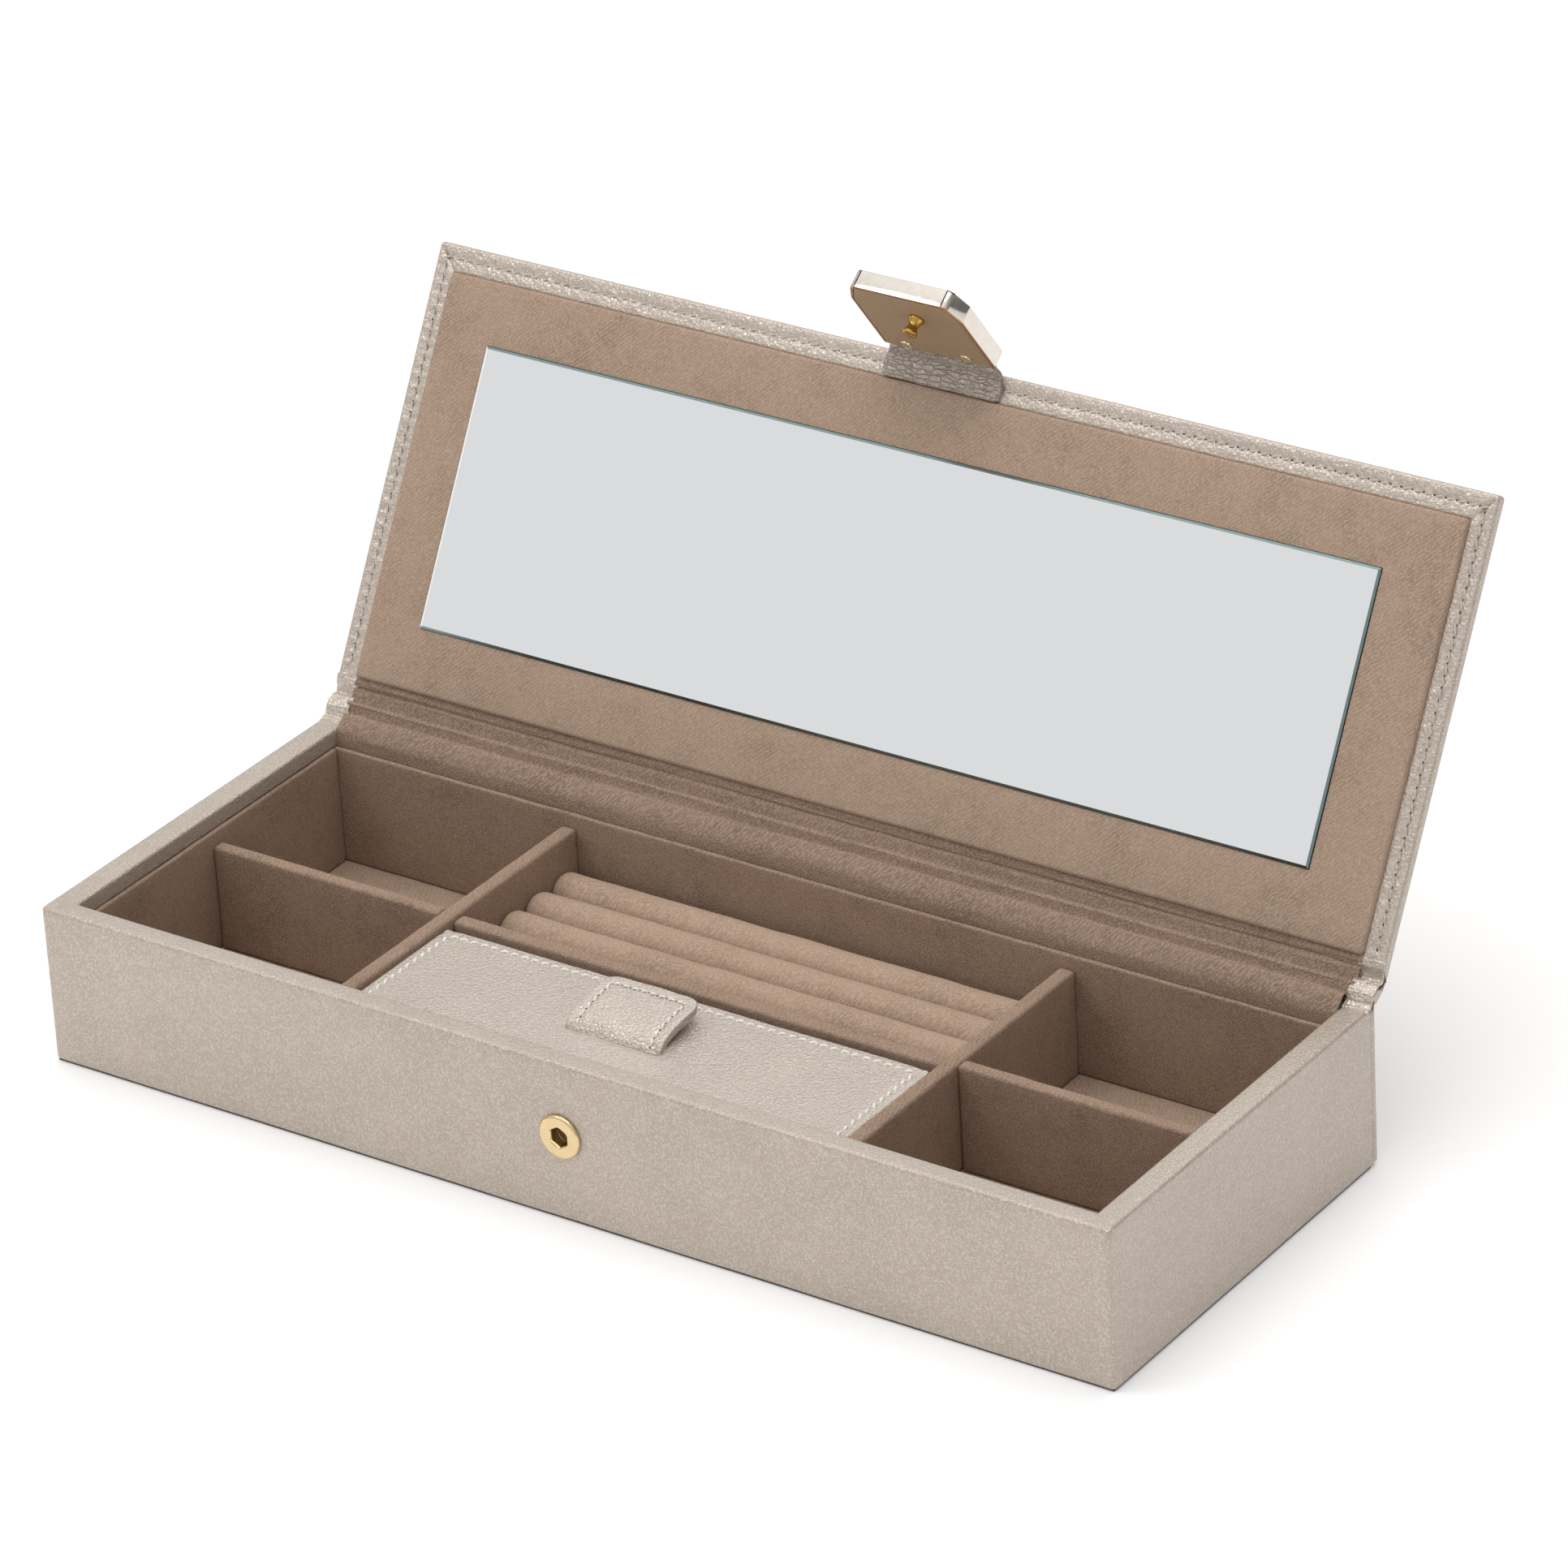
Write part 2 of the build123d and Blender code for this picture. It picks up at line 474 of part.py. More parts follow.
def build_clasp():
    """Cast clasp plate with backing, stud, rivets and the strap's two ends."""
    shell = Pos(0, 0, -CLASP_THICK) * extrude(clasp_outline(0, 0), amount=CLASP_THICK)
    shell = fillet(shell.edges().filter_by(Axis.Z).sort_by(Axis.Y)[-4:], 1.0)
    outside = shell.faces().sort_by(Axis.Z)[0].edges()
    shell = chamfer(outside, CLASP_EDGE)
    pocket = Pos(0, 0, -CLASP_POCKET) * extrude(clasp_outline(CLASP_WALL, -1), amount=CLASP_POCKET + 1)
    keep("clasp_shell", shell - pocket, CLASP)
    rivets = (CLASP_CENTRE_X - RIVET_OFFSET, CLASP_CENTRE_X + RIVET_OFFSET)
    backing = Pos(0, 0, -BACKING) * extrude(clasp_outline(CLASP_WALL, 0), amount=BACKING)
    backing = backing - clasp_hole(STUD_X, STUD_ALONG, STUD_WAIST_R + HOLE_PLAY, -4, 1)
    tongue = block(CLASP_CENTRE_X - STRAP_TONGUE_WIDE / 2, CLASP_CENTRE_X + STRAP_TONGUE_WIDE / 2,
                   -1.2, STRAP_TONGUE_LONG - 1.2, -BACKING - STRAP_THICK, -BACKING)
    for index, x in enumerate(rivets):
        hole = clasp_hole(x, RIVET_ALONG, RIVET_SHANK_R + HOLE_PLAY, -4, 1)
        backing = backing - hole
        tongue = tongue - hole
        keep(f"clasp_rivet_{index + 1}", clasp_rivet(x), CLASP)
    filler_top = -BACKING
    filler = Pos(0, 0, -CLASP_POCKET) * extrude(
        clasp_outline(CLASP_WALL, STRAP_TONGUE_LONG - 1.2 + GAP), amount=CLASP_POCKET + filler_top)
    filler = filler - clasp_hole(STUD_X, STUD_ALONG, STUD_WAIST_R + HOLE_PLAY, -BACKING - 0.2, 1)
    keep("clasp_filler", filler, CLASP)
    keep("clasp_backing", backing, CLASP)
    keep("clasp_strap_end", tongue, CLASP)
    keep("clasp_stud", clasp_stud(), CLASP)
    bottom = LID_THICK
    top = LID_THICK + STRAP_THICK
    outline = [(PANEL_FRONT_S, bottom), (LID_LENGTH, bottom), (LID_LENGTH + 1.4, bottom + 1.2),
               (LID_LENGTH + 0.6, bottom + 2.1), (LID_LENGTH - 0.6, top), (PANEL_FRONT_S, top)]
    half = STRAP_WIDE / 2
    keep("clasp_strap_root", prism_x(outline, STRAP_CENTRE_X - half, STRAP_CENTRE_X + half), LID)


def main():
    """Build every node and write one STEP file each."""
    os.makedirs("parts", exist_ok=True)
    for step in (build_base, build_liners, build_dividers, build_rolls, build_socket,
                 build_inner_lid, build_strip, build_lid, build_clasp):
        step()
    for name, shape in NODES.items():
        export_step(shape, f"parts/{name}.step")
    fold_b = leaf_point(LID, 0, 0)
    axis = leaf_point(LID, CLASP_AXIS_S, CLASP_AXIS_O)
    print("nodes", len(NODES))
    print("strip fold axis y z", BACK_Y, FOLD_A_HEIGHT)
    print("lid fold axis y z", round(fold_b.Y, 4), round(fold_b.Z, 4))
    print("clasp axis y z", round(axis.Y, 4), round(axis.Z, 4))
    print("socket z", round(SOCKET_Z, 3), "clasp face when shut y", round(CLASP_CLOSED_Y, 3))


main()
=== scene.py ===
"""Visual model of a flat leather jewellery box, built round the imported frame."""
import json
import logging
import math
import random
from collections.abc import Callable, Sequence
from dataclasses import dataclass, field
from enum import Enum

import bmesh
import bpy
from mathutils import Matrix, Vector, noise


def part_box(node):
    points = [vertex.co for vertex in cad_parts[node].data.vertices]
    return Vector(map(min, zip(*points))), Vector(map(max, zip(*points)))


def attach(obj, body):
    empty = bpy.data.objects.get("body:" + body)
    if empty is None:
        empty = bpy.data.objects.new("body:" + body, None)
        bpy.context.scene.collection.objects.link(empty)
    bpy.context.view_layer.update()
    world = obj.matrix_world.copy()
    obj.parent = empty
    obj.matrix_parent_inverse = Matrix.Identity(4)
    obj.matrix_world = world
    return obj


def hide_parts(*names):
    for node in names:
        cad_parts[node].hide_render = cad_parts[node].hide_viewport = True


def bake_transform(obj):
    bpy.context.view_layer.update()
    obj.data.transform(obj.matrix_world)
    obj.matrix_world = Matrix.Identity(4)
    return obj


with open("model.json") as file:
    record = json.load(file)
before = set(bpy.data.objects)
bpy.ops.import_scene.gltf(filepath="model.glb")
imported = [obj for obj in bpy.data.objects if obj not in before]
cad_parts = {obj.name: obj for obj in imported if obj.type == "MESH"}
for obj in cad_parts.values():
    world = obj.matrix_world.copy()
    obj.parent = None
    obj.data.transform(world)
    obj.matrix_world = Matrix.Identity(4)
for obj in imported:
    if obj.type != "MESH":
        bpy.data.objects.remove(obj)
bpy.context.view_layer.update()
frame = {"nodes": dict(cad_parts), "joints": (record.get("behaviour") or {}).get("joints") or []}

MM = 0.001
SEED = 41
LOG = logging.getLogger("jewellery_box")
Pair = tuple[float, float]
Rows = list[list[Vector]]


class Body(Enum):
    """Rigid bodies of the box, by the names in the record."""
    BASE = "base"
    INNER_LID = "inner_lid"
    TAB = "pull_tab_flap"
    STRIP = "hinge_strip"
    LID = "lid"
    CLASP = "clasp"


class Slot(Enum):
    """Material slots of the record that pieces take their finish from."""
    PEBBLED = "pebbled_leather"
    SMOOTH = "smooth_leather"
    STRAP = "strap_leather"
    CLASP_LEATHER = "clasp_leather"
    SUEDE = "suede"
    FELT = "felt"
    BOARD = "board"
    MIRROR = "mirror"
    CLASP_METAL = "clasp_metal"
    STUD = "stud_metal"
    RIVET = "rivet_metal"
    SOCKET = "socket_metal"
    SPRING = "spring_wire"


# ---- shader building ----------------------------------------------------------------------
class Graph:
    """Adds and wires shader nodes in one tree."""

    def __init__(self, tree: bpy.types.NodeTree) -> None:
        """Keep the tree and clear what a new material brings with it."""
        self.tree = tree
        tree.nodes.clear()

    def add(self, kind: str, feeds: dict | None = None, **settings) -> bpy.types.Node:
        """Add one node.

        Args:
            kind: node type without its ShaderNode prefix.
            feeds: input name or index to a value or a socket.
            settings: attributes of the node.

        Returns:
            The new node.
        """
        prefix = "" if kind.startswith("NodeGroup") else "ShaderNode"
        node = self.tree.nodes.new(prefix + kind)
        for name, value in settings.items():
            setattr(node, name, value)
        for name, value in (feeds or {}).items():
            self.feed(node.inputs[name], value)
        return node

    def feed(self, target: bpy.types.NodeSocket, value) -> None:
        """Link a socket, or set a constant, on an input."""
        if isinstance(value, bpy.types.NodeSocket):
            self.tree.links.new(value, target)
        else:
            target.default_value = value

    def math(self, operation: str, a, b=0.5, clamp: bool = False) -> bpy.types.NodeSocket:
        """Result of one arithmetic node."""
        return self.add("Math", {0: a, 1: b}, operation=operation, use_clamp=clamp).outputs[0]

    def remap(self, value, low: float, high: float, to_low: float = 0.0,
              to_high: float = 1.0) -> bpy.types.NodeSocket:
        """Smooth remap of a value from one range to another."""
        feeds = {"Value": value, "From Min": low, "From Max": high, "To Min": to_low, "To Max": to_high}
        return self.add("MapRange", feeds, interpolation_type="SMOOTHSTEP").outputs[0]

    def blend(self, share, a, b, mode: str = "MIX") -> bpy.types.NodeSocket:
        """Colour between a and b by a share."""
        node = self.add("Mix", {0: share, 6: a, 7: b}, data_type="RGBA", blend_type=mode)
        return node.outputs[2]

    def noise(self, vector, scale: float, detail: float = 3.0, rough: float = 0.55) -> bpy.types.NodeSocket:
        """Value of a noise texture."""
        feeds = {"Vector": vector, "Scale": scale, "Detail": detail, "Roughness": rough}
        return self.add("TexNoise", feeds).outputs[0]

    def place(self) -> bpy.types.NodeSocket:
        """Object coordinates, in metres in the row frame."""
        return self.add("TexCoord").outputs["Object"]


def rgba(colour: Sequence[float]) -> tuple[float, float, float, float]:
    """Linear colour with full alpha."""
    return (colour[0], colour[1], colour[2], 1.0)


def shared_group(name: str, ins: dict[str, float | None], outs: Sequence[str],
                 wire: Callable[[Graph, dict], dict]) -> bpy.types.NodeTree:
    """Make a shader node group once and give it back after that.

    Args:
        name: name of the group.
        ins: input names with a default, or None for a vector.
        outs: names of the float outputs.
        wire: builds the inside from the graph and the inputs, and gives the outputs.

    Returns:
        The group's tree.
    """
    found = bpy.data.node_groups.get(name)
    if found is not None:
        return found
    tree = bpy.data.node_groups.new(name, "ShaderNodeTree")
    graph = Graph(tree)
    for label, default in ins.items():
        kind = "NodeSocketVector" if default is None else "NodeSocketFloat"
        entry = tree.interface.new_socket(label, in_out="INPUT", socket_type=kind)
        if default is not None:
            entry.default_value = default
    for label in outs:
        tree.interface.new_socket(label, in_out="OUTPUT", socket_type="NodeSocketFloat")
    source = graph.add("NodeGroupInput")
    made = wire(graph, {label: source.outputs[label] for label in ins})
    graph.add("NodeGroupOutput", dict(made))
    return tree


def pebble_group() -> bpy.types.NodeTree:
    """Pebbled hide: domed cells, the valleys between them and long soft creases."""
    def wire(graph: Graph, ins: dict) -> dict:
        warp = graph.add("TexNoise", {"Vector": ins["Vector"], "Scale": 260.0, "Detail": 2.0}).outputs[1]
        bent = graph.add("VectorMath", {0: warp, "Scale": 0.0011}, operation="SCALE").outputs[0]
        spot = graph.add("VectorMath", {0: ins["Vector"], 1: bent}, operation="ADD").outputs[0]
        cells = graph.add("TexVoronoi", {"Vector": spot, "Scale": ins["Scale"]},
                          feature="SMOOTH_F1").outputs["Distance"]
        edges = graph.add("TexVoronoi", {"Vector": spot, "Scale": ins["Scale"]},
                          feature="DISTANCE_TO_EDGE").outputs["Distance"]
        valley = graph.remap(edges, 0.0, 0.16, 1.0, 0.0)
        fine = graph.noise(ins["Vector"], 2600.0, 2.0)
        dome = graph.math("SUBTRACT", graph.math("MULTIPLY", fine, ins["Fine"]), cells)
        height = graph.math("SUBTRACT", dome, graph.math("MULTIPLY", valley, 0.3))
        along = graph.add("Mapping", {"Vector": spot, "Scale": (360.0, 900.0, 900.0)}).outputs[0]
        cracks = graph.add("TexVoronoi", {"Vector": along, "Scale": 1.0}, feature="DISTANCE_TO_EDGE")
        crease = graph.remap(cracks.outputs["Distance"], 0.0, 0.12, 1.0, 0.0)
        height = graph.math("SUBTRACT", height, graph.math("MULTIPLY", crease, ins["Crease"]))
        return {"Height": height, "Valley": valley, "Fold": crease}
    ins = {"Vector": None, "Scale": 1200.0, "Crease": 0.1, "Fine": 0.2}
    return shared_group("pebbled_hide", ins, ("Height", "Valley", "Fold"), wire)


def nap_group() -> bpy.types.NodeTree:
    """Suede cloth: brushed patches, a fine diagonal rib and loose fibres."""
    def wire(graph: Graph, ins: dict) -> dict:
        broad = graph.noise(ins["Vector"], 34.0, 3.0, 0.6)
        patch = graph.noise(ins["Vector"], 150.0, 4.0, 0.65)
        mottle = graph.math("ADD", graph.math("MULTIPLY", broad, 0.55), graph.math("MULTIPLY", patch, 0.45))
        turned = graph.add("Mapping", {"Vector": ins["Vector"], "Rotation": DIAGONAL_TURN}).outputs[0]
        stretched = graph.add("Mapping", {"Vector": turned, "Scale": (1.0, 1.0, 0.24)}).outputs[0]
        streak = graph.noise(stretched, ins["Rib"], 2.0, 0.5)
        drift = graph.math("MULTIPLY", graph.noise(ins["Vector"], 260.0, 2.0), 9.0)
        wave = graph.add("VectorMath", {0: ins["Vector"], 1: TWILL_WAVE}, operation="DOT_PRODUCT")
        phase = wave.outputs["Value"]
        line = graph.math("MULTIPLY", graph.math("SINE", graph.math("ADD", phase, drift)), ins["Twill"])
        rib = graph.math("ADD", streak, line)
        fibre = graph.noise(ins["Vector"], 3400.0, 2.0, 0.7)
        height = graph.math("ADD", graph.math("MULTIPLY", rib, 0.7), graph.math("MULTIPLY", fibre, 0.5))
        return {"Mottle": mottle, "Rib": rib, "Fibre": fibre, "Height": height}
    ins = {"Vector": None, "Rib": 1300.0, "Twill": 0.1}
    return shared_group("suede_nap", ins, ("Mottle", "Rib", "Fibre", "Height"), wire)


def scuff_group() -> bpy.types.NodeTree:
    """Handled metal: hairline scratches and cloudy wipe marks."""
    def wire(graph: Graph, ins: dict) -> dict:
        cloud = graph.noise(ins["Vector"], 420.0, 3.0)
        lines = graph.add("Mapping", {"Vector": ins["Vector"], "Rotation": (0.2, 0.9, 0.4),
                                      "Scale": (300.0, 9000.0, 9000.0)}).outputs[0]
        hair = graph.remap(graph.noise(lines, 1.0, 2.0), 0.6, 0.75)
        return {"Cloud": cloud, "Hair": hair}
    return shared_group("handled_metal", {"Vector": None}, ("Cloud", "Hair"), wire)


TWILL_PITCH = 0.75 * MM
TWILL_WAVE = tuple(Vector((1.0, 0.45, -1.45)).normalized() * math.tau / TWILL_PITCH)
DIAGONAL_TURN = tuple(Vector((1, 1, 1)).rotation_difference(Vector((0, 0, 1))).to_euler())


@dataclass(frozen=True)
class Finish:
    """A surface finish that becomes one material."""
    name: str
    slot: Slot | None
    colour: tuple[float, float, float]

    def material(self) -> bpy.types.Material:
        """Material of this finish, made on first use."""
        found = bpy.data.materials.get(self.name)
        if found is not None:
            return found
        made = bpy.data.materials.new(self.name)
        made.use_nodes = True
        graph = Graph(made.node_tree)
        shader = graph.add("BsdfPrincipled")
        graph.add("OutputMaterial", {"Surface": shader.outputs[0]})
        self.wire(graph, shader)
        made.diffuse_color = rgba(self.colour)
        return made

    def wire(self, graph: Graph, shader: bpy.types.Node) -> None:
        """Set the shader up; a plain finish has a colour with faint mottling."""
        cloud = graph.noise(graph.place(), 300.0)
        dark = [c * 0.8 for c in self.colour]
        graph.feed(shader.inputs["Base Color"], graph.blend(cloud, rgba(dark), rgba(self.colour)))
        shader.inputs["Roughness"].default_value = 0.85


@dataclass(frozen=True)
class LeatherFinish(Finish):
    """Pearlescent embossed leather."""
    valley: tuple[float, float, float] = (0.3, 0.25, 0.2)
    grain: float = 1250.0
    depth: float = 0.12
    crease: float = 0.1
    fine: float = 0.2
    rough: float = 0.37
    pearl: float = 0.5
    coat: float = 0.08
    coat_rough: float = 0.35
    # colour of the painted glints and of the painted sheen
    glint: tuple[float, float, float] = (0.8, 0.76, 0.7)

    def wire(self, graph: Graph, shader: bpy.types.Node) -> None:
        """Grain, creases, painted glints, a painted pearl sheen at glancing angles and faint cloudiness."""
        spot = graph.place()
        hide = graph.add("Group", node_tree=pebble_group())
        graph.feed(hide.inputs["Vector"], spot)
        hide.inputs["Scale"].default_value = self.grain
        hide.inputs["Crease"].default_value = self.crease
        hide.inputs["Fine"].default_value = self.fine
        cloud = graph.noise(spot, 46.0, 4.0, 0.6)
        painted_glints = graph.noise(spot, 1650.0, 2.0, 0.75)
        light = [min(1.0, c * 1.04) for c in self.colour]
        dark = [c * 0.95 for c in self.colour]
        body = graph.blend(graph.remap(cloud, 0.3, 0.7), rgba(dark), rgba(light))
        # light flecks blended towards the glint colour: painted highlights
        body = graph.blend(graph.remap(painted_glints, 0.45, 0.64, 0.0, 0.36), body, rgba(self.glint))
        body = graph.blend(graph.math("MULTIPLY", hide.outputs["Valley"], 0.14), body, rgba(self.valley))
        folded = graph.math("MULTIPLY", hide.outputs["Fold"], self.crease * 0.5)
        body = graph.blend(folded, body, rgba(self.valley))
        # colour lightened towards glancing angles: a painted sheen
        facing = graph.add("LayerWeight", {"Blend": 0.35}).outputs["Facing"]
        body = graph.blend(graph.math("MULTIPLY", facing, 0.35), body, rgba(self.glint))
        graph.feed(shader.inputs["Base Color"], body)
        rough = graph.math("ADD", self.rough, graph.math("MULTIPLY", hide.outputs["Valley"], 0.16))
        graph.feed(shader.inputs["Roughness"], rough)
        shader.inputs["Metallic"].default_value = self.pearl
        shader.inputs["Coat Weight"].default_value = self.coat
        shader.inputs["Coat Roughness"].default_value = self.coat_rough
        bump = graph.add("Bump", {"Height": hide.outputs["Height"], "Strength": 1.0,
                                  "Distance": self.depth * MM})
        graph.feed(shader.inputs["Normal"], bump.outputs[0])


@dataclass(frozen=True)
class SuedeFinish(Finish):
    """Short-napped suede cloth with a faint diagonal rib."""
    shade: tuple[float, float, float] = (0.2, 0.14, 0.1)
    bloom: tuple[float, float, float] = (0.5, 0.38, 0.29)
    rib: float = 2900.0
    twill: float = 0.045
    depth: float = 0.08
    sheen: float = 0.5
    sheen_rough: float = 0.45

    def wire(self, graph: Graph, shader: bpy.types.Node) -> None:
        """Brushed patches, ribs and fibres under a soft sheen."""
        nap = graph.add("Group", node_tree=nap_group())
        graph.feed(nap.inputs["Vector"], graph.place())
        nap.inputs["Rib"].default_value = self.rib
        nap.inputs["Twill"].default_value = self.twill
        brushed = graph.remap(nap.outputs["Mottle"], 0.3, 0.58, 0.35)
        body = graph.blend(brushed, rgba(self.shade), rgba(self.colour))
        body = graph.blend(graph.remap(nap.outputs["Rib"], 0.45, 0.57, 0.0, 0.7), body, rgba(self.bloom))
        body = graph.blend(graph.remap(nap.outputs["Fibre"], 0.5, 0.61, 0.0, 0.6), body, rgba(self.shade))
        graph.feed(shader.inputs["Base Color"], body)
        shader.inputs["Roughness"].default_value = 0.95
        shader.inputs["Specular IOR Level"].default_value = 0.15
        shader.inputs["Sheen Weight"].default_value = self.sheen
        shader.inputs["Sheen Roughness"].default_value = self.sheen_rough
        shader.inputs["Sheen Tint"].default_value = rgba(self.bloom)
        bump = graph.add("Bump", {"Height": nap.outputs["Height"], "Strength": 1.0,
                                  "Distance": self.depth * MM})
        graph.feed(shader.inputs["Normal"], bump.outputs[0])


@dataclass(frozen=True)
class MetalFinish(Finish):
    """Plated metal, polished or satin."""
    rough: float = 0.08
    satin: float = 0.0

    def wire(self, graph: Graph, shader: bpy.types.Node) -> None:
        """Wipe marks and hairlines in the roughness, satin grain in the normal."""
        scuff = graph.add("Group", node_tree=scuff_group())
        graph.feed(scuff.inputs["Vector"], graph.place())
        warm = [c * 0.93 for c in self.colour]
        tone = graph.blend(graph.remap(scuff.outputs["Cloud"], 0.3, 0.7), rgba(warm), rgba(self.colour))
        graph.feed(shader.inputs["Base Color"], tone)
        rough = graph.math("ADD", self.rough, graph.math("MULTIPLY", scuff.outputs["Cloud"], 0.07))
        rough = graph.math("ADD", rough, graph.math("MULTIPLY", scuff.outputs["Hair"], 0.1))
        graph.feed(shader.inputs["Roughness"], rough)
        shader.inputs["Metallic"].default_value = 1.0
        height = graph.math("ADD", scuff.outputs["Hair"], scuff.outputs["Cloud"])
        bump = graph.add("Bump", {"Height": height, "Strength": 0.25 + self.satin,
                                  "Distance": (0.004 + 0.05 * self.satin) * MM})
        graph.feed(shader.inputs["Normal"], bump.outputs[0])


@dataclass(frozen=True)
class MirrorFinish(Finish):
    """Silvered glass."""

    def wire(self, graph: Graph, shader: bpy.types.Node) -> None:
        """A clean reflection with a trace of haze."""
        haze = graph.noise(graph.place(), 60.0, 4.0)
        near = [c * 0.985 for c in self.colour]
        graph.feed(shader.inputs["Base Color"], graph.blend(haze, rgba(near), rgba(self.colour)))
        graph.feed(shader.inputs["Roughness"], graph.remap(haze, 0.3, 0.8, 0.015, 0.05))
        shader.inputs["Metallic"].default_value = 1.0


@dataclass(frozen=True)
class ThreadFinish(Finish):
    """Twisted sewing thread."""

    def wire(self, graph: Graph, shader: bpy.types.Node) -> None:
        """Fine twist lines over a soft colour."""
        turned = graph.add("Mapping", {"Vector": graph.place(), "Rotation": (0.6, 0.5, 0.8)}).outputs[0]
        twist = graph.add("TexWave", {"Vector": turned, "Scale": 900.0, "Distortion": 1.5}).outputs[1]
        dark = [c * 0.72 for c in self.colour]
        graph.feed(shader.inputs["Base Color"], graph.blend(twist, rgba(dark), rgba(self.colour)))
        shader.inputs["Roughness"].default_value = 0.6
        shader.inputs["Sheen Weight"].default_value = 0.2
        bump = graph.add("Bump", {"Height": twist, "Strength": 0.6, "Distance": 0.05 * MM})
        graph.feed(shader.inputs["Normal"], bump.outputs[0])


COVER_LEATHER = LeatherFinish("cover_leather", Slot.PEBBLED, (0.437, 0.357, 0.293), depth=0.13, rough=0.34)
BORDER_LEATHER = LeatherFinish("border_leather", Slot.PEBBLED, (0.49, 0.415, 0.35), grain=1000.0, depth=0.13,
                               crease=0.08, rough=0.29, pearl=0.6)
FLAP_LEATHER = LeatherFinish("flap_leather", Slot.SMOOTH, (0.495, 0.424, 0.362), grain=1000.0, depth=0.17,
                             crease=0.25, rough=0.3)
STRAP_LEATHER = LeatherFinish("strap_leather_creased", Slot.STRAP, (0.38, 0.32, 0.27), grain=800.0,
                              depth=0.22, crease=0.9, fine=0.1, rough=0.34, glint=(0.62, 0.56, 0.5),
                              valley=(0.24, 0.2, 0.165))
BACKING_LEATHER = LeatherFinish("clasp_backing_leather", Slot.CLASP_LEATHER, (0.34, 0.22, 0.125),
                                valley=(0.2, 0.12, 0.07), grain=1900.0, depth=0.05, pearl=0.1,
                                glint=(0.45, 0.33, 0.2))
# one suede in several copies: the wall and gusset copies are darker than the floor, panel and roll copies, as
# painted shade on the walls and in the spine fold
SUEDE = SuedeFinish("mink_suede_painted_shade", Slot.SUEDE, (0.29, 0.199, 0.145), shade=(0.155, 0.106, 0.075),
                    bloom=(0.4, 0.285, 0.213))
FLOOR_SUEDE = SuedeFinish("tray_floor_suede", Slot.SUEDE, (0.4, 0.284, 0.212), shade=(0.22, 0.155, 0.112))
PANEL_SUEDE = SuedeFinish("lid_panel_suede", Slot.SUEDE, (0.367, 0.262, 0.192), shade=(0.215, 0.15, 0.108),
                          bloom=(0.45, 0.335, 0.255), twill=0.085)
ROLL_SUEDE = SuedeFinish("ring_roll_suede", Slot.SUEDE, (0.39, 0.273, 0.202), shade=(0.26, 0.18, 0.13),
                         twill=0.02)
GUSSET_SUEDE_PAINTED_SHADE = SuedeFinish("gusset_suede_painted_shade", Slot.SUEDE, (0.254, 0.175, 0.127), shade=(0.165, 0.113, 0.08),
                           bloom=(0.4, 0.29, 0.22))
FELT = SuedeFinish("underside_cloth", Slot.FELT, (0.12, 0.1, 0.085), shade=(0.07, 0.058, 0.05),
                   bloom=(0.2, 0.17, 0.14))
GREY_BOARD = Finish("grey_board", Slot.BOARD, (0.34, 0.27, 0.19))
# near-black for needle holes and the rim crevice: painted shade
HOLE_SHADE_PAINTED = Finish("needle_hole_painted_shade", None, (0.085, 0.066, 0.052))
MIRROR = MirrorFinish("silvered_glass", Slot.MIRROR, (0.88, 0.895, 0.905))
MIRROR_EDGE = MetalFinish("ground_glass_edge", Slot.MIRROR, (0.2, 0.27, 0.27), rough=0.25)
# white of the ground glass edge, laid on one bevel only: real edge colour together with a painted reflection
# of it
FROST_EDGE_PAINTED_REFLECTION = Finish("frosted_edge_painted_reflection", Slot.MIRROR, (0.93, 0.95, 0.95))
CHAMPAGNE = MetalFinish("champagne_plate", Slot.CLASP_METAL, (0.73, 0.675, 0.605), rough=0.04)
ROSE_EDGE = MetalFinish("rose_gold_edge", Slot.CLASP_METAL, (0.62, 0.4, 0.25), rough=0.16)
# near-black metal at the clasp's corners: partly the seam where the pressed walls meet, partly a painted dark
# reflection
CORNER_SEAM_AND_REFLECTION = MetalFinish("clasp_corner_seam_painted_reflection", Slot.CLASP_METAL, (0.06, 0.05, 0.043), rough=0.3)
AMBER = MetalFinish("amber_brass", Slot.STUD, (0.56, 0.33, 0.08), rough=0.14)
PALE_BRASS = MetalFinish("pale_brass", Slot.RIVET, (0.95, 0.85, 0.62), rough=0.1)
SOCKET_GOLD = MetalFinish("satin_gold", Slot.SOCKET, (0.76, 0.59, 0.34), rough=0.19, satin=0.3)
SPRING_STEEL = MetalFinish("spring_steel", Slot.SPRING, (0.9, 0.87, 0.78), rough=0.12)
THREAD = ThreadFinish("tonal_thread", Slot.SMOOTH, (0.9, 0.85, 0.79))
BORDER_THREAD = ThreadFinish("border_thread", Slot.PEBBLED, (0.56, 0.49, 0.43))


# ---- places from the frame ----------------------------------------------------------------
def joint(name: str) -> dict:
    """The record's joint of that name."""
    return next(j for j in frame["joints"] if j["name"] == name)


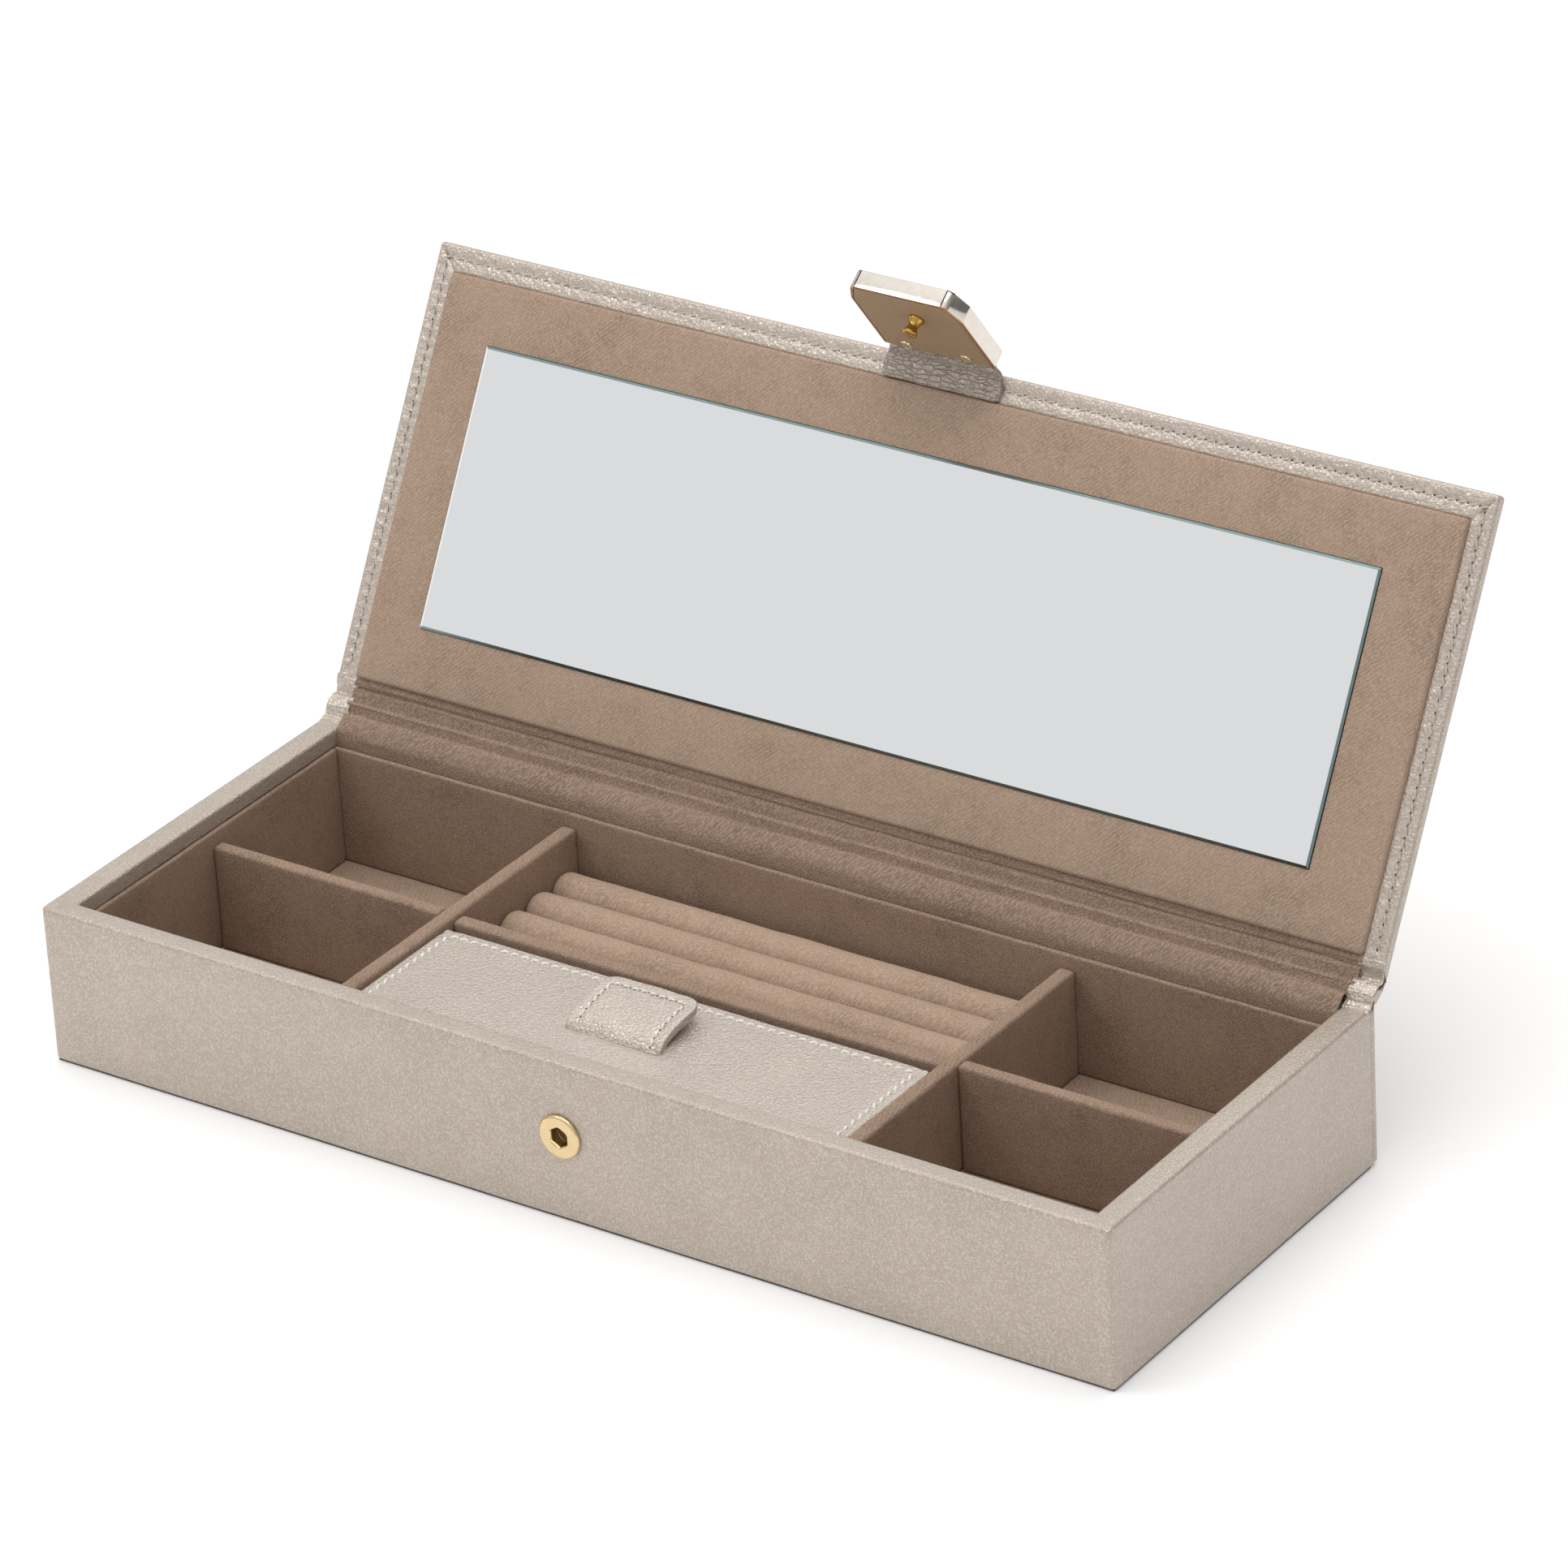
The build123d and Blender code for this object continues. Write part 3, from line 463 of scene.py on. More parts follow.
@dataclass(frozen=True)
class Leaf:
    """Frame of a folding leaf: x across, s away from its fold, o towards its inner face."""
    fold: Vector
    lean: float

    def at(self, x: float, s: float, o: float) -> Vector:
        """Row-frame point of leaf coordinates."""
        run = Vector((0, math.sin(self.lean), math.cos(self.lean)))
        out = Vector((0, -math.cos(self.lean), math.sin(self.lean)))
        return Vector((x, self.fold.y, self.fold.z)) + run * s + out * o

    def back(self, point: Vector) -> Vector:
        """Leaf coordinates of a row-frame point."""
        d = point - self.fold
        run = Vector((0, math.sin(self.lean), math.cos(self.lean)))
        out = Vector((0, -math.cos(self.lean), math.sin(self.lean)))
        return Vector((d.x, d.dot(run), d.dot(out)))

    def box(self, node: str) -> tuple[Vector, Vector]:
        """Lowest and highest leaf coordinates of a CAD node."""
        spots = [self.back(v.co) for v in frame["nodes"][node].data.vertices]
        low = Vector([min(p[i] for p in spots) for i in range(3)])
        high = Vector([max(p[i] for p in spots) for i in range(3)])
        return low, high


def make_leaves() -> dict[Body, Leaf]:
    """Leaves of the strip, the lid and the clasp from the record's joints.

    Returns:
        Leaf of each folding body at rest.
    """
    fold_a = Vector(joint("strip_fold")["pos_m"])
    fold_b = Vector(joint("lid_fold")["pos_m"])
    run = fold_b - fold_a
    strip_lean = math.atan2(run.y, run.z)
    folded = math.radians(-joint("strip_fold")["range_deg"][0] - joint("lid_fold")["range_deg"][0])
    lid = Leaf(fold_b, folded - math.pi / 2)
    bend = math.radians(90 + joint("clasp_fold")["range_deg"][0])
    turned = Leaf(Vector((0, 0, 0)), lid.lean - bend)
    low, _ = turned.box("clasp_shell")
    _, face = turned.box("clasp_backing")
    clasp = Leaf(turned.at(0, low.y, face.z), turned.lean)
    return {Body.STRIP: Leaf(fold_a, strip_lean), Body.LID: lid, Body.CLASP: clasp}


LEAVES = make_leaves()


# ---- mesh building ------------------------------------------------------------------------
def arc_corner(before: Pair, corner: Pair, after: Pair, radius: float, steps: int = 5) -> list[Pair]:
    """Round one corner of an outline with an arc.

    Args:
        before: point before the corner.
        corner: the corner.
        after: point after the corner.
        radius: radius of the arc.
        steps: number of spans.

    Returns:
        The points that take the corner's place.
    """
    c = Vector(corner)
    u = (Vector(before) - c).normalized()
    v = (Vector(after) - c).normalized()
    half = math.acos(max(-1.0, min(1.0, u.dot(v)))) / 2
    if radius <= 0 or half > math.pi / 2 - 0.01:
        return [corner]
    reach = radius / math.tan(half)
    centre = c + (u + v).normalized() * radius / math.sin(half)
    start = c + u * reach - centre
    sweep = math.pi - 2 * half
    turn = 1 if start.x * (c + v * reach - centre).y > start.y * (c + v * reach - centre).x else -1
    spots = []
    for i in range(steps + 1):
        a = turn * sweep * i / steps
        ca, sa = math.cos(a), math.sin(a)
        spots.append((centre.x + start.x * ca - start.y * sa, centre.y + start.x * sa + start.y * ca))
    return spots


def rounded_outline(corners: Sequence[tuple[float, float, float]], steps: int = 5) -> list[Pair]:
    """Closed outline from corners given as (a, b, radius)."""
    count = len(corners)
    spots: list[Pair] = []
    for i, (a, b, r) in enumerate(corners):
        before = corners[i - 1][:2]
        after = corners[(i + 1) % count][:2]
        spots += arc_corner(before, (a, b), after, r, steps)
    return spots


def spaced(low: float, high: float, step: float) -> list[float]:
    """Even stations from low to high, about a step apart."""
    count = max(1, round((high - low) / step))
    return [low + (high - low) * i / count for i in range(count + 1)]


def edged(low: float, high: float, radius: float, step: float, extra: Sequence[float] = ()) -> list[float]:
    """Stations from low to high that crowd at both ends for a rounded edge."""
    crowd = [radius * share for share in (0.0, 0.12, 0.35, 0.65, 1.0)]
    inner = spaced(low + radius, high - radius, step)
    found = [low + c for c in crowd] + inner + [high - c for c in crowd] + list(extra)
    kept: list[float] = []
    for value in sorted(found):
        if not kept or value - kept[-1] > 1e-6:
            kept.append(value)
    return kept


def skin(rows: Rows, ring: bool = True, wrap: bool = False, caps: bool = True) -> tuple[list, list]:
    """Faces between successive rows of points.

    Args:
        rows: rows of equal length.
        ring: each row closes on itself.
        wrap: the last row joins the first.
        caps: close the first and last row with one face each.

    Returns:
        Points and faces.
    """
    width = len(rows[0])
    points = [p for row in rows for p in row]
    faces = []
    for i in range(len(rows) if wrap else len(rows) - 1):
        a, b = i * width, ((i + 1) % len(rows)) * width
        for j in range(width if ring else width - 1):
            k = (j + 1) % width
            faces.append((a + j, a + k, b + k, b + j))
    if caps and not wrap:
        faces.append(tuple(reversed(range(width))))
        faces.append(tuple(range(len(points) - width, len(points))))
    return points, faces


def ripple(points: list[Vector], depth: float, size: float, seed: int = 0) -> list[Vector]:
    """Points pushed about by smooth noise, as hand-stretched covering lies."""
    shift = Vector((seed * 3.1, seed * 1.7, seed * 2.3))
    return [p + noise.noise_vector(p / size + shift) * depth for p in points]


def make_piece(name: str, points: Sequence, faces: Sequence, finishes: Sequence[Finish],
               marks: Sequence[int] | None = None, sharp: float = 42.0) -> bpy.types.Object:
    """Make a mesh object with outward faces.

    Args:
        name: name of the piece.
        points: vertex places.
        faces: vertex numbers of each face.
        finishes: its finishes; the first one's slot is the piece's slot.
        marks: finish number of each face.
        sharp: angle above which an edge stays crisp, in degrees.

    Returns:
        The new object.
    """
    mesh = bpy.data.meshes.new(name)
    mesh.from_pydata([tuple(p) for p in points], [], [tuple(f) for f in faces])
    if marks is not None:
        mesh.polygons.foreach_set("material_index", list(marks))
    tidy = bmesh.new()
    tidy.from_mesh(mesh)
    bmesh.ops.remove_doubles(tidy, verts=tidy.verts, dist=1e-6)
    bmesh.ops.recalc_face_normals(tidy, faces=tidy.faces)
    tidy.to_mesh(mesh)
    tidy.free()
    mesh.polygons.foreach_set("use_smooth", [True] * len(mesh.polygons))
    mesh.set_sharp_from_angle(angle=math.radians(sharp))
    for finish in finishes:
        mesh.materials.append(finish.material())
    made = bpy.data.objects.new(name, mesh)
    bpy.context.scene.collection.objects.link(made)
    return made


def settle(piece: bpy.types.Object, body: Body, *nodes: str) -> bpy.types.Object:
    """Let a piece ride on a body and stand for CAD nodes, and report it."""
    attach(piece, body.value)
    if nodes:
        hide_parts(*nodes)
    LOG.info("%s rides on %s, %d faces", piece.name, body.value, len(piece.data.polygons))
    return piece


def cross(piece: bpy.types.Object, pair: tuple[Body, Body]) -> bpy.types.Object:
    """Bake a sheet that spans two bodies into place, and report the pair."""
    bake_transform(piece)
    LOG.info("%s bends from %s to %s", piece.name, pair[0].value, pair[1].value)
    return piece


@dataclass
class Pillow:
    """Closed pad on a grid: rounded top edges, optional crown, dents and a pocket."""
    low: Vector
    high: Vector
    radius: float
    step: float = 4.0 * MM
    corner: float = 0.0
    pocket: tuple[float, float, float, float] | None = None
    pocket_floor: float = 0.0
    dent: Callable[[float, float], float] | None = None
    place: Callable[[float, float, float], Vector] = field(default=lambda x, y, z: Vector((x, y, z)))

    def plan(self, x: float, y: float) -> Pair:
        """Plan place of a grid point once the corners are rounded."""
        if self.corner <= 0:
            return x, y
        mid = (self.low + self.high) / 2
        c = self.corner
        edge_x = self.high.x - c if x > mid.x else self.low.x + c
        edge_y = self.high.y - c if y > mid.y else self.low.y + c
        a, b = (x - edge_x) / c, (y - edge_y) / c
        a = a if (a > 0) == (x > mid.x) else 0.0
        b = b if (b > 0) == (y > mid.y) else 0.0
        if a == 0.0 or b == 0.0:
            return x, y
        return edge_x + c * a * math.sqrt(1 - b * b / 2), edge_y + c * b * math.sqrt(1 - a * a / 2)

    def height(self, x: float, y: float) -> float:
        """Height of the top face."""
        fall = []
        for value, low, high in ((x, self.low.x, self.high.x), (y, self.low.y, self.high.y)):
            inside = min(value - low, high - value)
            fall.append(max(0.0, self.radius - inside) / self.radius)
        share = min(1.0, math.hypot(*fall))
        z = self.high.z - self.radius * (1 - math.sqrt(max(0.0, 1 - share * share)))
        return z + (self.dent(x, y) if self.dent else 0.0)

    def build(self) -> tuple[list[Vector], list]:
        """Points and faces of the pad."""
        extra_x = self.pocket[:2] if self.pocket else ()
        extra_y = self.pocket[2:] if self.pocket else ()
        xs = edged(self.low.x, self.high.x, self.radius, self.step, extra_x)
        ys = edged(self.low.y, self.high.y, self.radius, self.step, extra_y)
        points, faces, numbers = [], [], {}

        def number(i: int, j: int, level: int) -> int:
            key = (i, j, level)
            if key not in numbers:
                x, y = xs[i], ys[j]
                heights = (self.height(x, y), self.low.z, self.pocket_floor)
                a, b = self.plan(x, y)
                numbers[key] = len(points)
                points.append(self.place(a, b, heights[level]))
            return numbers[key]

        def inside(i: int, j: int) -> bool:
            if self.pocket is None or not (0 <= i < len(xs) - 1 and 0 <= j < len(ys) - 1):
                return False
            mx, my = (xs[i] + xs[i + 1]) / 2, (ys[j] + ys[j + 1]) / 2
            return self.pocket[0] < mx < self.pocket[1] and self.pocket[2] < my < self.pocket[3]

        wide, deep = len(xs) - 1, len(ys) - 1
        for i in range(wide):
            for j in range(deep):
                level = 2 if inside(i, j) else 0
                cell = ((i, j), (i + 1, j), (i + 1, j + 1), (i, j + 1))
                faces.append(tuple(number(a, b, level) for a, b in cell))
                for di, dj, ends in ((-1, 0, ((i, j), (i, j + 1))), (1, 0, ((i + 1, j), (i + 1, j + 1))),
                                     (0, -1, ((i, j), (i + 1, j))), (0, 1, ((i, j + 1), (i + 1, j + 1)))):
                    if level == 2 and not inside(i + di, j + dj):
                        (p, q) = ends
                        faces.append((number(*p, 2), number(*q, 2), number(*q, 0), number(*p, 0)))
        rim = [(i, 0) for i in range(wide)] + [(wide, j) for j in range(deep)]
        rim += [(i, deep) for i in range(wide, 0, -1)] + [(0, j) for j in range(deep, 0, -1)]
        for p, q in zip(rim, rim[1:] + rim[:1]):
            faces.append((number(*p, 0), number(*q, 0), number(*q, 1), number(*p, 1)))
        faces.append(tuple(number(*p, 1) for p in rim))
        return points, faces


def rounded_box(low: Vector, high: Vector, radius: float, step: float) -> tuple[list[Vector], list]:
    """Box with all edges rounded, on a grid fine enough to ripple.

    Args:
        low: lowest corner.
        high: highest corner.
        radius: edge radius, limited to half the thinnest side.
        step: grid step.

    Returns:
        Points and faces.
    """
    radius = min(radius, min(high - low) * 0.49)
    lines = [edged(low[i], high[i], radius, step) for i in range(3)]
    points, faces, numbers = [], [], {}

    def number(key: tuple[int, int, int]) -> int:
        if key not in numbers:
            raw = Vector([lines[i][key[i]] for i in range(3)])
            core = Vector([min(max(raw[i], low[i] + radius), high[i] - radius) for i in range(3)])
            off = raw - core
            numbers[key] = len(points)
            points.append(core + off.normalized() * radius if off.length > 0 else raw)
        return numbers[key]

    for axis in range(3):
        u, v = [i for i in range(3) if i != axis]
        for end in (0, len(lines[axis]) - 1):
            for i in range(len(lines[u]) - 1):
                for j in range(len(lines[v]) - 1):
                    cell = []
                    for di, dj in ((0, 0), (1, 0), (1, 1), (0, 1)):
                        key = [0, 0, 0]
                        key[axis], key[u], key[v] = end, i + di, j + dj
                        cell.append(number(tuple(key)))
                    faces.append(tuple(cell))
    return points, faces


@dataclass(frozen=True)
class UPlan:
    """U-shaped run of a wrapped rim: one side, the far edge and the other side."""
    half: float
    start: float
    end: float
    corner: float
    step: float

    def ring(self, side_in: float, end_in: float, start: float | None = None) -> list[Pair]:
        """Points (x, run) of the U, moved in by side_in and end_in."""
        begin = self.start if start is None else start
        least = 0.08 * MM
        rx, rt = max(self.corner - side_in, least), max(self.corner - end_in, least)
        cx, ct = self.half - side_in - rx, self.end - end_in - rt
        count_t = max(1, round((self.end - self.start) / self.step))
        sides = [begin + (ct - begin) * i / count_t for i in range(count_t)]
        turn = [(cx + rx * math.cos(a), ct + rt * math.sin(a)) for a in spaced(0, math.pi / 2, math.pi / 10)]
        count_x = max(1, round(2 * self.half / self.step))
        far = [(-cx + 2 * cx * i / count_x, self.end - end_in) for i in range(1, count_x)]
        left = [(-(self.half - side_in), t) for t in sides]
        left += [(-x, t) for x, t in turn]
        right = [(x, t) for x, t in reversed(turn)]
        right += [(self.half - side_in, t) for t in reversed(sides)]
        return left + far + right


@dataclass
class StitchLine:
    """Row of sewn stitches with the needle holes between them, coloured near-black as painted shade."""
    name: str
    thread: Finish
    pitch: float
    length: float
    thick: float
    rise: float
    slant: float = 0.0
    hole: float = 0.3 * MM
    thread_sides: int = 6
    hole_sides: int = 8

    def run(self, path: Sequence[tuple[Vector, Vector]]) -> tuple[list, list, list]:
        """Stitches along a path of (point, surface normal).

        Args:
            path: places along the seam with their normals.

        Returns:
            Points, faces and finish marks.
        """
        points, faces, marks = [], [], []
        around = self.thread_sides
        draw = random.Random(SEED)
        reach = [0.0]
        for (p, _), (q, _) in zip(path, path[1:]):
            reach.append(reach[-1] + (q - p).length)

        def along(distance: float) -> tuple[Vector, Vector, Vector]:
            i = max(1, next((k for k, r in enumerate(reach) if r >= distance), len(reach) - 1))
            share = (distance - reach[i - 1]) / max(1e-9, reach[i] - reach[i - 1])
            spot = path[i - 1][0].lerp(path[i][0], share)
            up = path[i - 1][1].lerp(path[i][1], share).normalized()
            return spot, up, (path[i][0] - path[i - 1][0]).normalized()

        count = int(reach[-1] / self.pitch)
        for k in range(count):
            centre = (k + 0.5) * reach[-1] / count + draw.uniform(-0.12, 0.12) * MM
            spot, up, ahead = along(centre)
            across = up.cross(ahead).normalized()
            ahead = (ahead + across * (self.slant + draw.uniform(-0.06, 0.06))).normalized()
            across = up.cross(ahead).normalized()
            base = len(points)
            profile = ((-0.5, -0.9, 0.35), (-0.36, 0.35, 0.85), (-0.12, 0.95, 1.0), (0.12, 0.95, 1.0),
                       (0.36, 0.35, 0.85), (0.5, -0.9, 0.35))
            for share, lift, width in profile:
                hub = spot + ahead * self.length * share + up * self.rise * lift
                for m in range(around):
                    a = math.tau * m / around
                    arm = across * math.cos(a) + up * math.sin(a) * 0.8
                    points.append(hub + arm * self.thick / 2 * width)
            for i in range(len(profile) - 1):
                first = base + i * around
                for m in range(around):
                    n = (m + 1) % around
                    faces.append((first + m, first + n, first + around + n, first + around + m))
                    marks.append(0)
            last = base + (len(profile) - 1) * around
            for end in (range(base, base + around), range(last, last + around)):
                faces.append(tuple(end))
                marks.append(0)
            # needle hole: a shallow pit coloured near-black, painted shade
            pit, up, ahead = along(min(reach[-1], centre + reach[-1] / count / 2))
            across = up.cross(ahead).normalized()
            base = len(points)
            sides = self.hole_sides
            for ring, lift in ((1.0, 0.07 * MM), (0.9, -0.3 * MM)):
                for m in range(sides):
                    a = math.tau * m / sides
                    arm = ahead * math.cos(a) * 1.25 + across * math.sin(a)
                    points.append(pit + arm * self.hole * ring + up * lift)
            faces.append(tuple(range(base, base + sides)))
            faces.append(tuple(reversed(range(base + sides, base + 2 * sides))))
            marks += [1, 1]
            for m in range(sides):
                n = (m + 1) % sides
                faces.append((base + m, base + n, base + sides + n, base + sides + m))
                marks.append(1)
        return points, faces, marks

    def sew(self, path: Sequence[tuple[Vector, Vector]]) -> bpy.types.Object:
        """Make the stitches as one piece."""
        points, faces, marks = self.run(path)
        return make_piece(self.name, points, faces, (self.thread, HOLE_SHADE_PAINTED), marks)


def lathe(profile: Sequence[Pair], centre: Vector, axis: Vector, spans: int = 48) -> tuple[list, list]:
    """Turn a profile of (radius, height) about an axis."""
    turn = Vector((0, 0, 1)).rotation_difference(axis)
    rows = []
    for radius, height in profile:
        angles = [math.tau * i / spans for i in range(spans)]
        ring = [Vector((radius * math.cos(a), radius * math.sin(a), height)) for a in angles]
        rows.append([centre + turn @ p for p in ring])
    return skin(rows)


def seam_path(spots: Sequence[Vector], up: Vector) -> list[tuple[Vector, Vector]]:
    """Path with one normal all along."""
    return [(p, up) for p in spots]


def edges_of(node: str) -> tuple[Vector, Vector]:
    """Lowest and highest corner of a CAD node as vectors."""
    low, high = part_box(node)
    return Vector(low), Vector(high)


def extrude_x(section: Sequence[Pair], xs: Sequence[float], lift: Callable[[float, int], float] | None = None,
              thick: float = 0.0) -> Rows:
    """Rows of an open (y, z) section laid along x, closed into a thin sheet.

    Args:
        section: points (y, z) from one edge to the other.
        xs: stations along x.
        lift: shift along the local normal at (x, point number).
        thick: thickness of the sheet, laid on the far side of the normal.

    Returns:
        Rows of closed rings, one for each station.
    """
    normals = []
    for i in range(len(section)):
        a, b = section[max(0, i - 1)], section[min(len(section) - 1, i + 1)]
        run = Vector((b[0] - a[0], b[1] - a[1])).normalized()
        normals.append(Vector((-run.y, run.x)))
    rows = []
    for x in xs:
        upper, under = [], []
        for i, (spot, normal) in enumerate(zip(section, normals)):
            out = lift(x, i) if lift else 0.0
            upper.append(Vector((x, spot[0] + normal.x * out, spot[1] + normal.y * out)))
            under.append(Vector((x, spot[0] + normal.x * (out - thick), spot[1] + normal.y * (out - thick))))
        rows.append(upper + list(reversed(under)))
    return rows


def smooth_line(spots: Sequence[Pair], per_span: int = 5) -> list[Pair]:
    """Smooth open curve through points."""
    padded = [spots[0], *spots, spots[-1]]
    out = []
    for i in range(1, len(padded) - 2):
        p0, p1, p2, p3 = (Vector(p) for p in padded[i - 1:i + 3])
        for k in range(per_span):
            t = k / per_span
            point = 0.5 * ((2 * p1) + (p2 - p0) * t + (2 * p0 - 5 * p1 + 4 * p2 - p3) * t ** 2
                           + (3 * p1 - p0 - 3 * p2 + p3) * t ** 3)
            out.append((point.x, point.y))
    out.append(tuple(spots[-1]))
    return out


# ---- the body -----------------------------------------------------------------------------
@dataclass
class BodyShell:
    """Leather-covered tray: sides, rolled rim, turn-in, rear cover, boards and foot cloth."""
    corner: float = 1.3 * MM
    edge: float = 1.1 * MM
    skin: float = 0.5 * MM
    turn_in: float = 34.0 * MM
    wave: float = 0.09 * MM
    wave_size: float = 24 * MM
    hole: float = 3.3 * MM
    near: tuple[float, ...] = (0.25 * MM, 0.6 * MM, 1.1 * MM)
    crease: float = 0.32 * MM

    def profile(self, side_wide: float, end_wide: float, low: float, top: float) -> list[tuple]:
        """Points (side inset, end inset, z) from the foot over the rim to the turn-in."""
        e = self.edge
        share = [(0.45, low), (0.1, low + 0.35 * MM), (0.0, low + 0.9 * MM)]
        points = [(0.45 * MM * a, 0.45 * MM * a, z) for a, z in share]
        points += [(0.0, 0.0, z) for z in self.levels(low + 3 * MM, top - e)]
        for a in spaced(0, math.pi / 2, math.pi / 10):
            points.append((e - e * math.cos(a), e - e * math.cos(a), top - e + e * math.sin(a)))
        middle = [(0.35, -0.03), (0.62, -0.1)]
        points += [(side_wide * a, end_wide * a, top + d * MM) for a, d in middle]
        r = 0.9 * MM
        for a in spaced(0, math.pi / 2, math.pi / 8):
            inward = r - r * math.sin(a)
            points.append((side_wide - inward, end_wide - inward, top - 0.2 * MM - r + r * math.cos(a)))
        for z in (0.75, 0.5, 0.25, 0.0):
            points.append((side_wide, end_wide, self.turn_in + (top - 1.6 * MM - self.turn_in) * z))
        return points

    def levels(self, low: float, high: float) -> list[float]:
        """Heights of the wall rows, with two at the edges of the socket hole."""
        centre = self.socket.z
        keep = [z for z in spaced(low, high, 6 * MM) if abs(z - centre) > self.hole + 1 * MM]
        return sorted(keep + [centre - self.hole, centre + self.hole])

    @property
    def socket(self) -> Vector:
        """Centre of the snap socket."""
        low, high = edges_of("snap_socket")
        return (low + high) / 2

    def build(self) -> None:
        """Make every piece of the body."""
        self.cover()
        self.rear_cover()
        self.rim_line()
        for name in ("front_wall", "left_wall", "right_wall", "rear_wall", "floor", "rear_cover"):
            dress(f"{name}_board", GREY_BOARD)
        dress("underside_felt", FELT)

    def cover(self) -> None:
        """One leather skin over three walls, with mitred rim corners."""
        low, high = edges_of("base_leather")
        side_wide = high.x - edges_of("floor_liner")[1].x
        end_wide = edges_of("front_liner_left")[0].y - low.y
        plan = UPlan(high.x, -high.y, -low.y, self.corner, 7 * MM)
        outer = self.profile(side_wide, end_wide, low.z, high.z)
        inner = []
        for i, (a, b, z) in enumerate(outer):
            p, q = outer[max(0, i - 1)], outer[min(len(outer) - 1, i + 1)]
            run = Vector((q[0] - p[0], q[2] - p[2])).normalized()
            inner.append((a + run.y * self.skin, b + run.y * self.skin, z - run.x * self.skin))
        rows = []
        for k, (a, b, z) in enumerate(outer + list(reversed(inner))):
            ring = self.ring(plan, a, b)
            row = [Vector((x, -t, z)) for x, t in ring]
            if k < len(outer):
                row = ripple(row, self.wave, self.wave_size)
                row = [self.mitre(p, plan, a, b) for p in row] if z > high.z - 0.6 * MM else row
            rows.append(row)
        points, faces = skin(rows, ring=False, wrap=True)
        width, half = len(rows[0]), len(outer)
        for k in range(half - 1):
            for j in (0, width - 1):
                mate = (2 * half - 1 - k) * width + j
                faces.append((k * width + j, (k + 1) * width + j, mate - width, mate))
        centre = self.socket
        kept = []
        for face in faces:
            mid = sum((points[i] for i in face), Vector()) / len(face)
            beside = max(abs(mid.x - centre.x), abs(mid.z - centre.z)) < self.hole
            if not (beside and mid.y < low.y + 2 * MM):
                kept.append(face)
        settle(make_piece("body_cover", points, kept, (COVER_LEATHER,)), Body.BASE, "base_leather")

    def ring(self, plan: UPlan, a: float, b: float) -> list[Pair]:
        """Ring of the cover with extra stations at the corners and at the socket hole."""
        ring = plan.ring(a, b)
        far = plan.end - b
        half = plan.half - a
        extra = [(s * (half - n), far) for s in (-1, 1) for n in (x + plan.corner for x in self.near)]
        extra += [(self.socket.x + s * self.hole, far) for s in (-1, 1)]
        sides = [(s * half, far - plan.corner - n) for s in (-1, 1) for n in self.near]

        def order(spot: Pair) -> float:
            x, t = spot
            if x < -half + 1e-7 and t < far - 1e-7:
                return t
            if x > half - 1e-7 and t < far - 1e-7:
                return 10 - t
            return 5 + x
        inner = [p for p in ring if all(abs(p[0] - e[0]) + abs(p[1] - e[1]) > 1e-5 for e in extra + sides)]
        return sorted(inner + extra + sides, key=order)

    def mitre(self, point: Vector, plan: UPlan, a: float, b: float) -> Vector:
        """Point sunk where the rim's fold line runs to the corner."""
        across = (plan.half - abs(point.x)) - (plan.end + point.y)
        depth = self.crease * math.exp(-(across / (0.55 * MM)) ** 2)
        return point - Vector((0, 0, depth))

    def rear_cover(self) -> None:
        """Padded leather slab glued over the rear wall."""
        low, high = edges_of("rear_cover_leather")
        low.y += 0.06 * MM
        points, faces = rounded_box(low, high, 0.9 * MM, 9 * MM)
        points = ripple(points, self.wave, self.wave_size, 3)
        settle(make_piece("rear_cover", points, faces, (COVER_LEATHER,)), Body.BASE, "rear_cover_leather")

    def rim_line(self) -> None:
        """Thin near-black strip in the crevice where the rim leather meets the lining of the tray: painted
        shade.
        """
        low, high = edges_of("floor_liner")
        z = edges_of("front_liner_left")[1].z
        rows = []
        for x, y in ((low.x, high.y), (low.x, low.y), (high.x, low.y), (high.x, high.y)):
            inx, iny = (1 if x < 0 else -1) * 0.25 * MM, (0.25 if y < 0 else 0.0) * MM
            rows.append([Vector((x, y, z - 1 * MM)), Vector((x, y, z)), Vector((x + inx, y + iny, z)),
                         Vector((x + inx, y + iny, z - 1 * MM))])
        points, faces = skin(rows)
        # the crevice strip takes the near-black hole colour as painted shade
        settle(make_piece("rim_crevice_painted_shade", points, faces, (HOLE_SHADE_PAINTED,)), Body.BASE)


def dress(node: str, finish: Finish) -> None:
    """Give a CAD node its finish."""
    slots = frame["nodes"][node].material_slots
    for entry in slots:
        entry.material = finish.material()
    LOG.info("%s keeps its CAD shape in %s", node, finish.name)


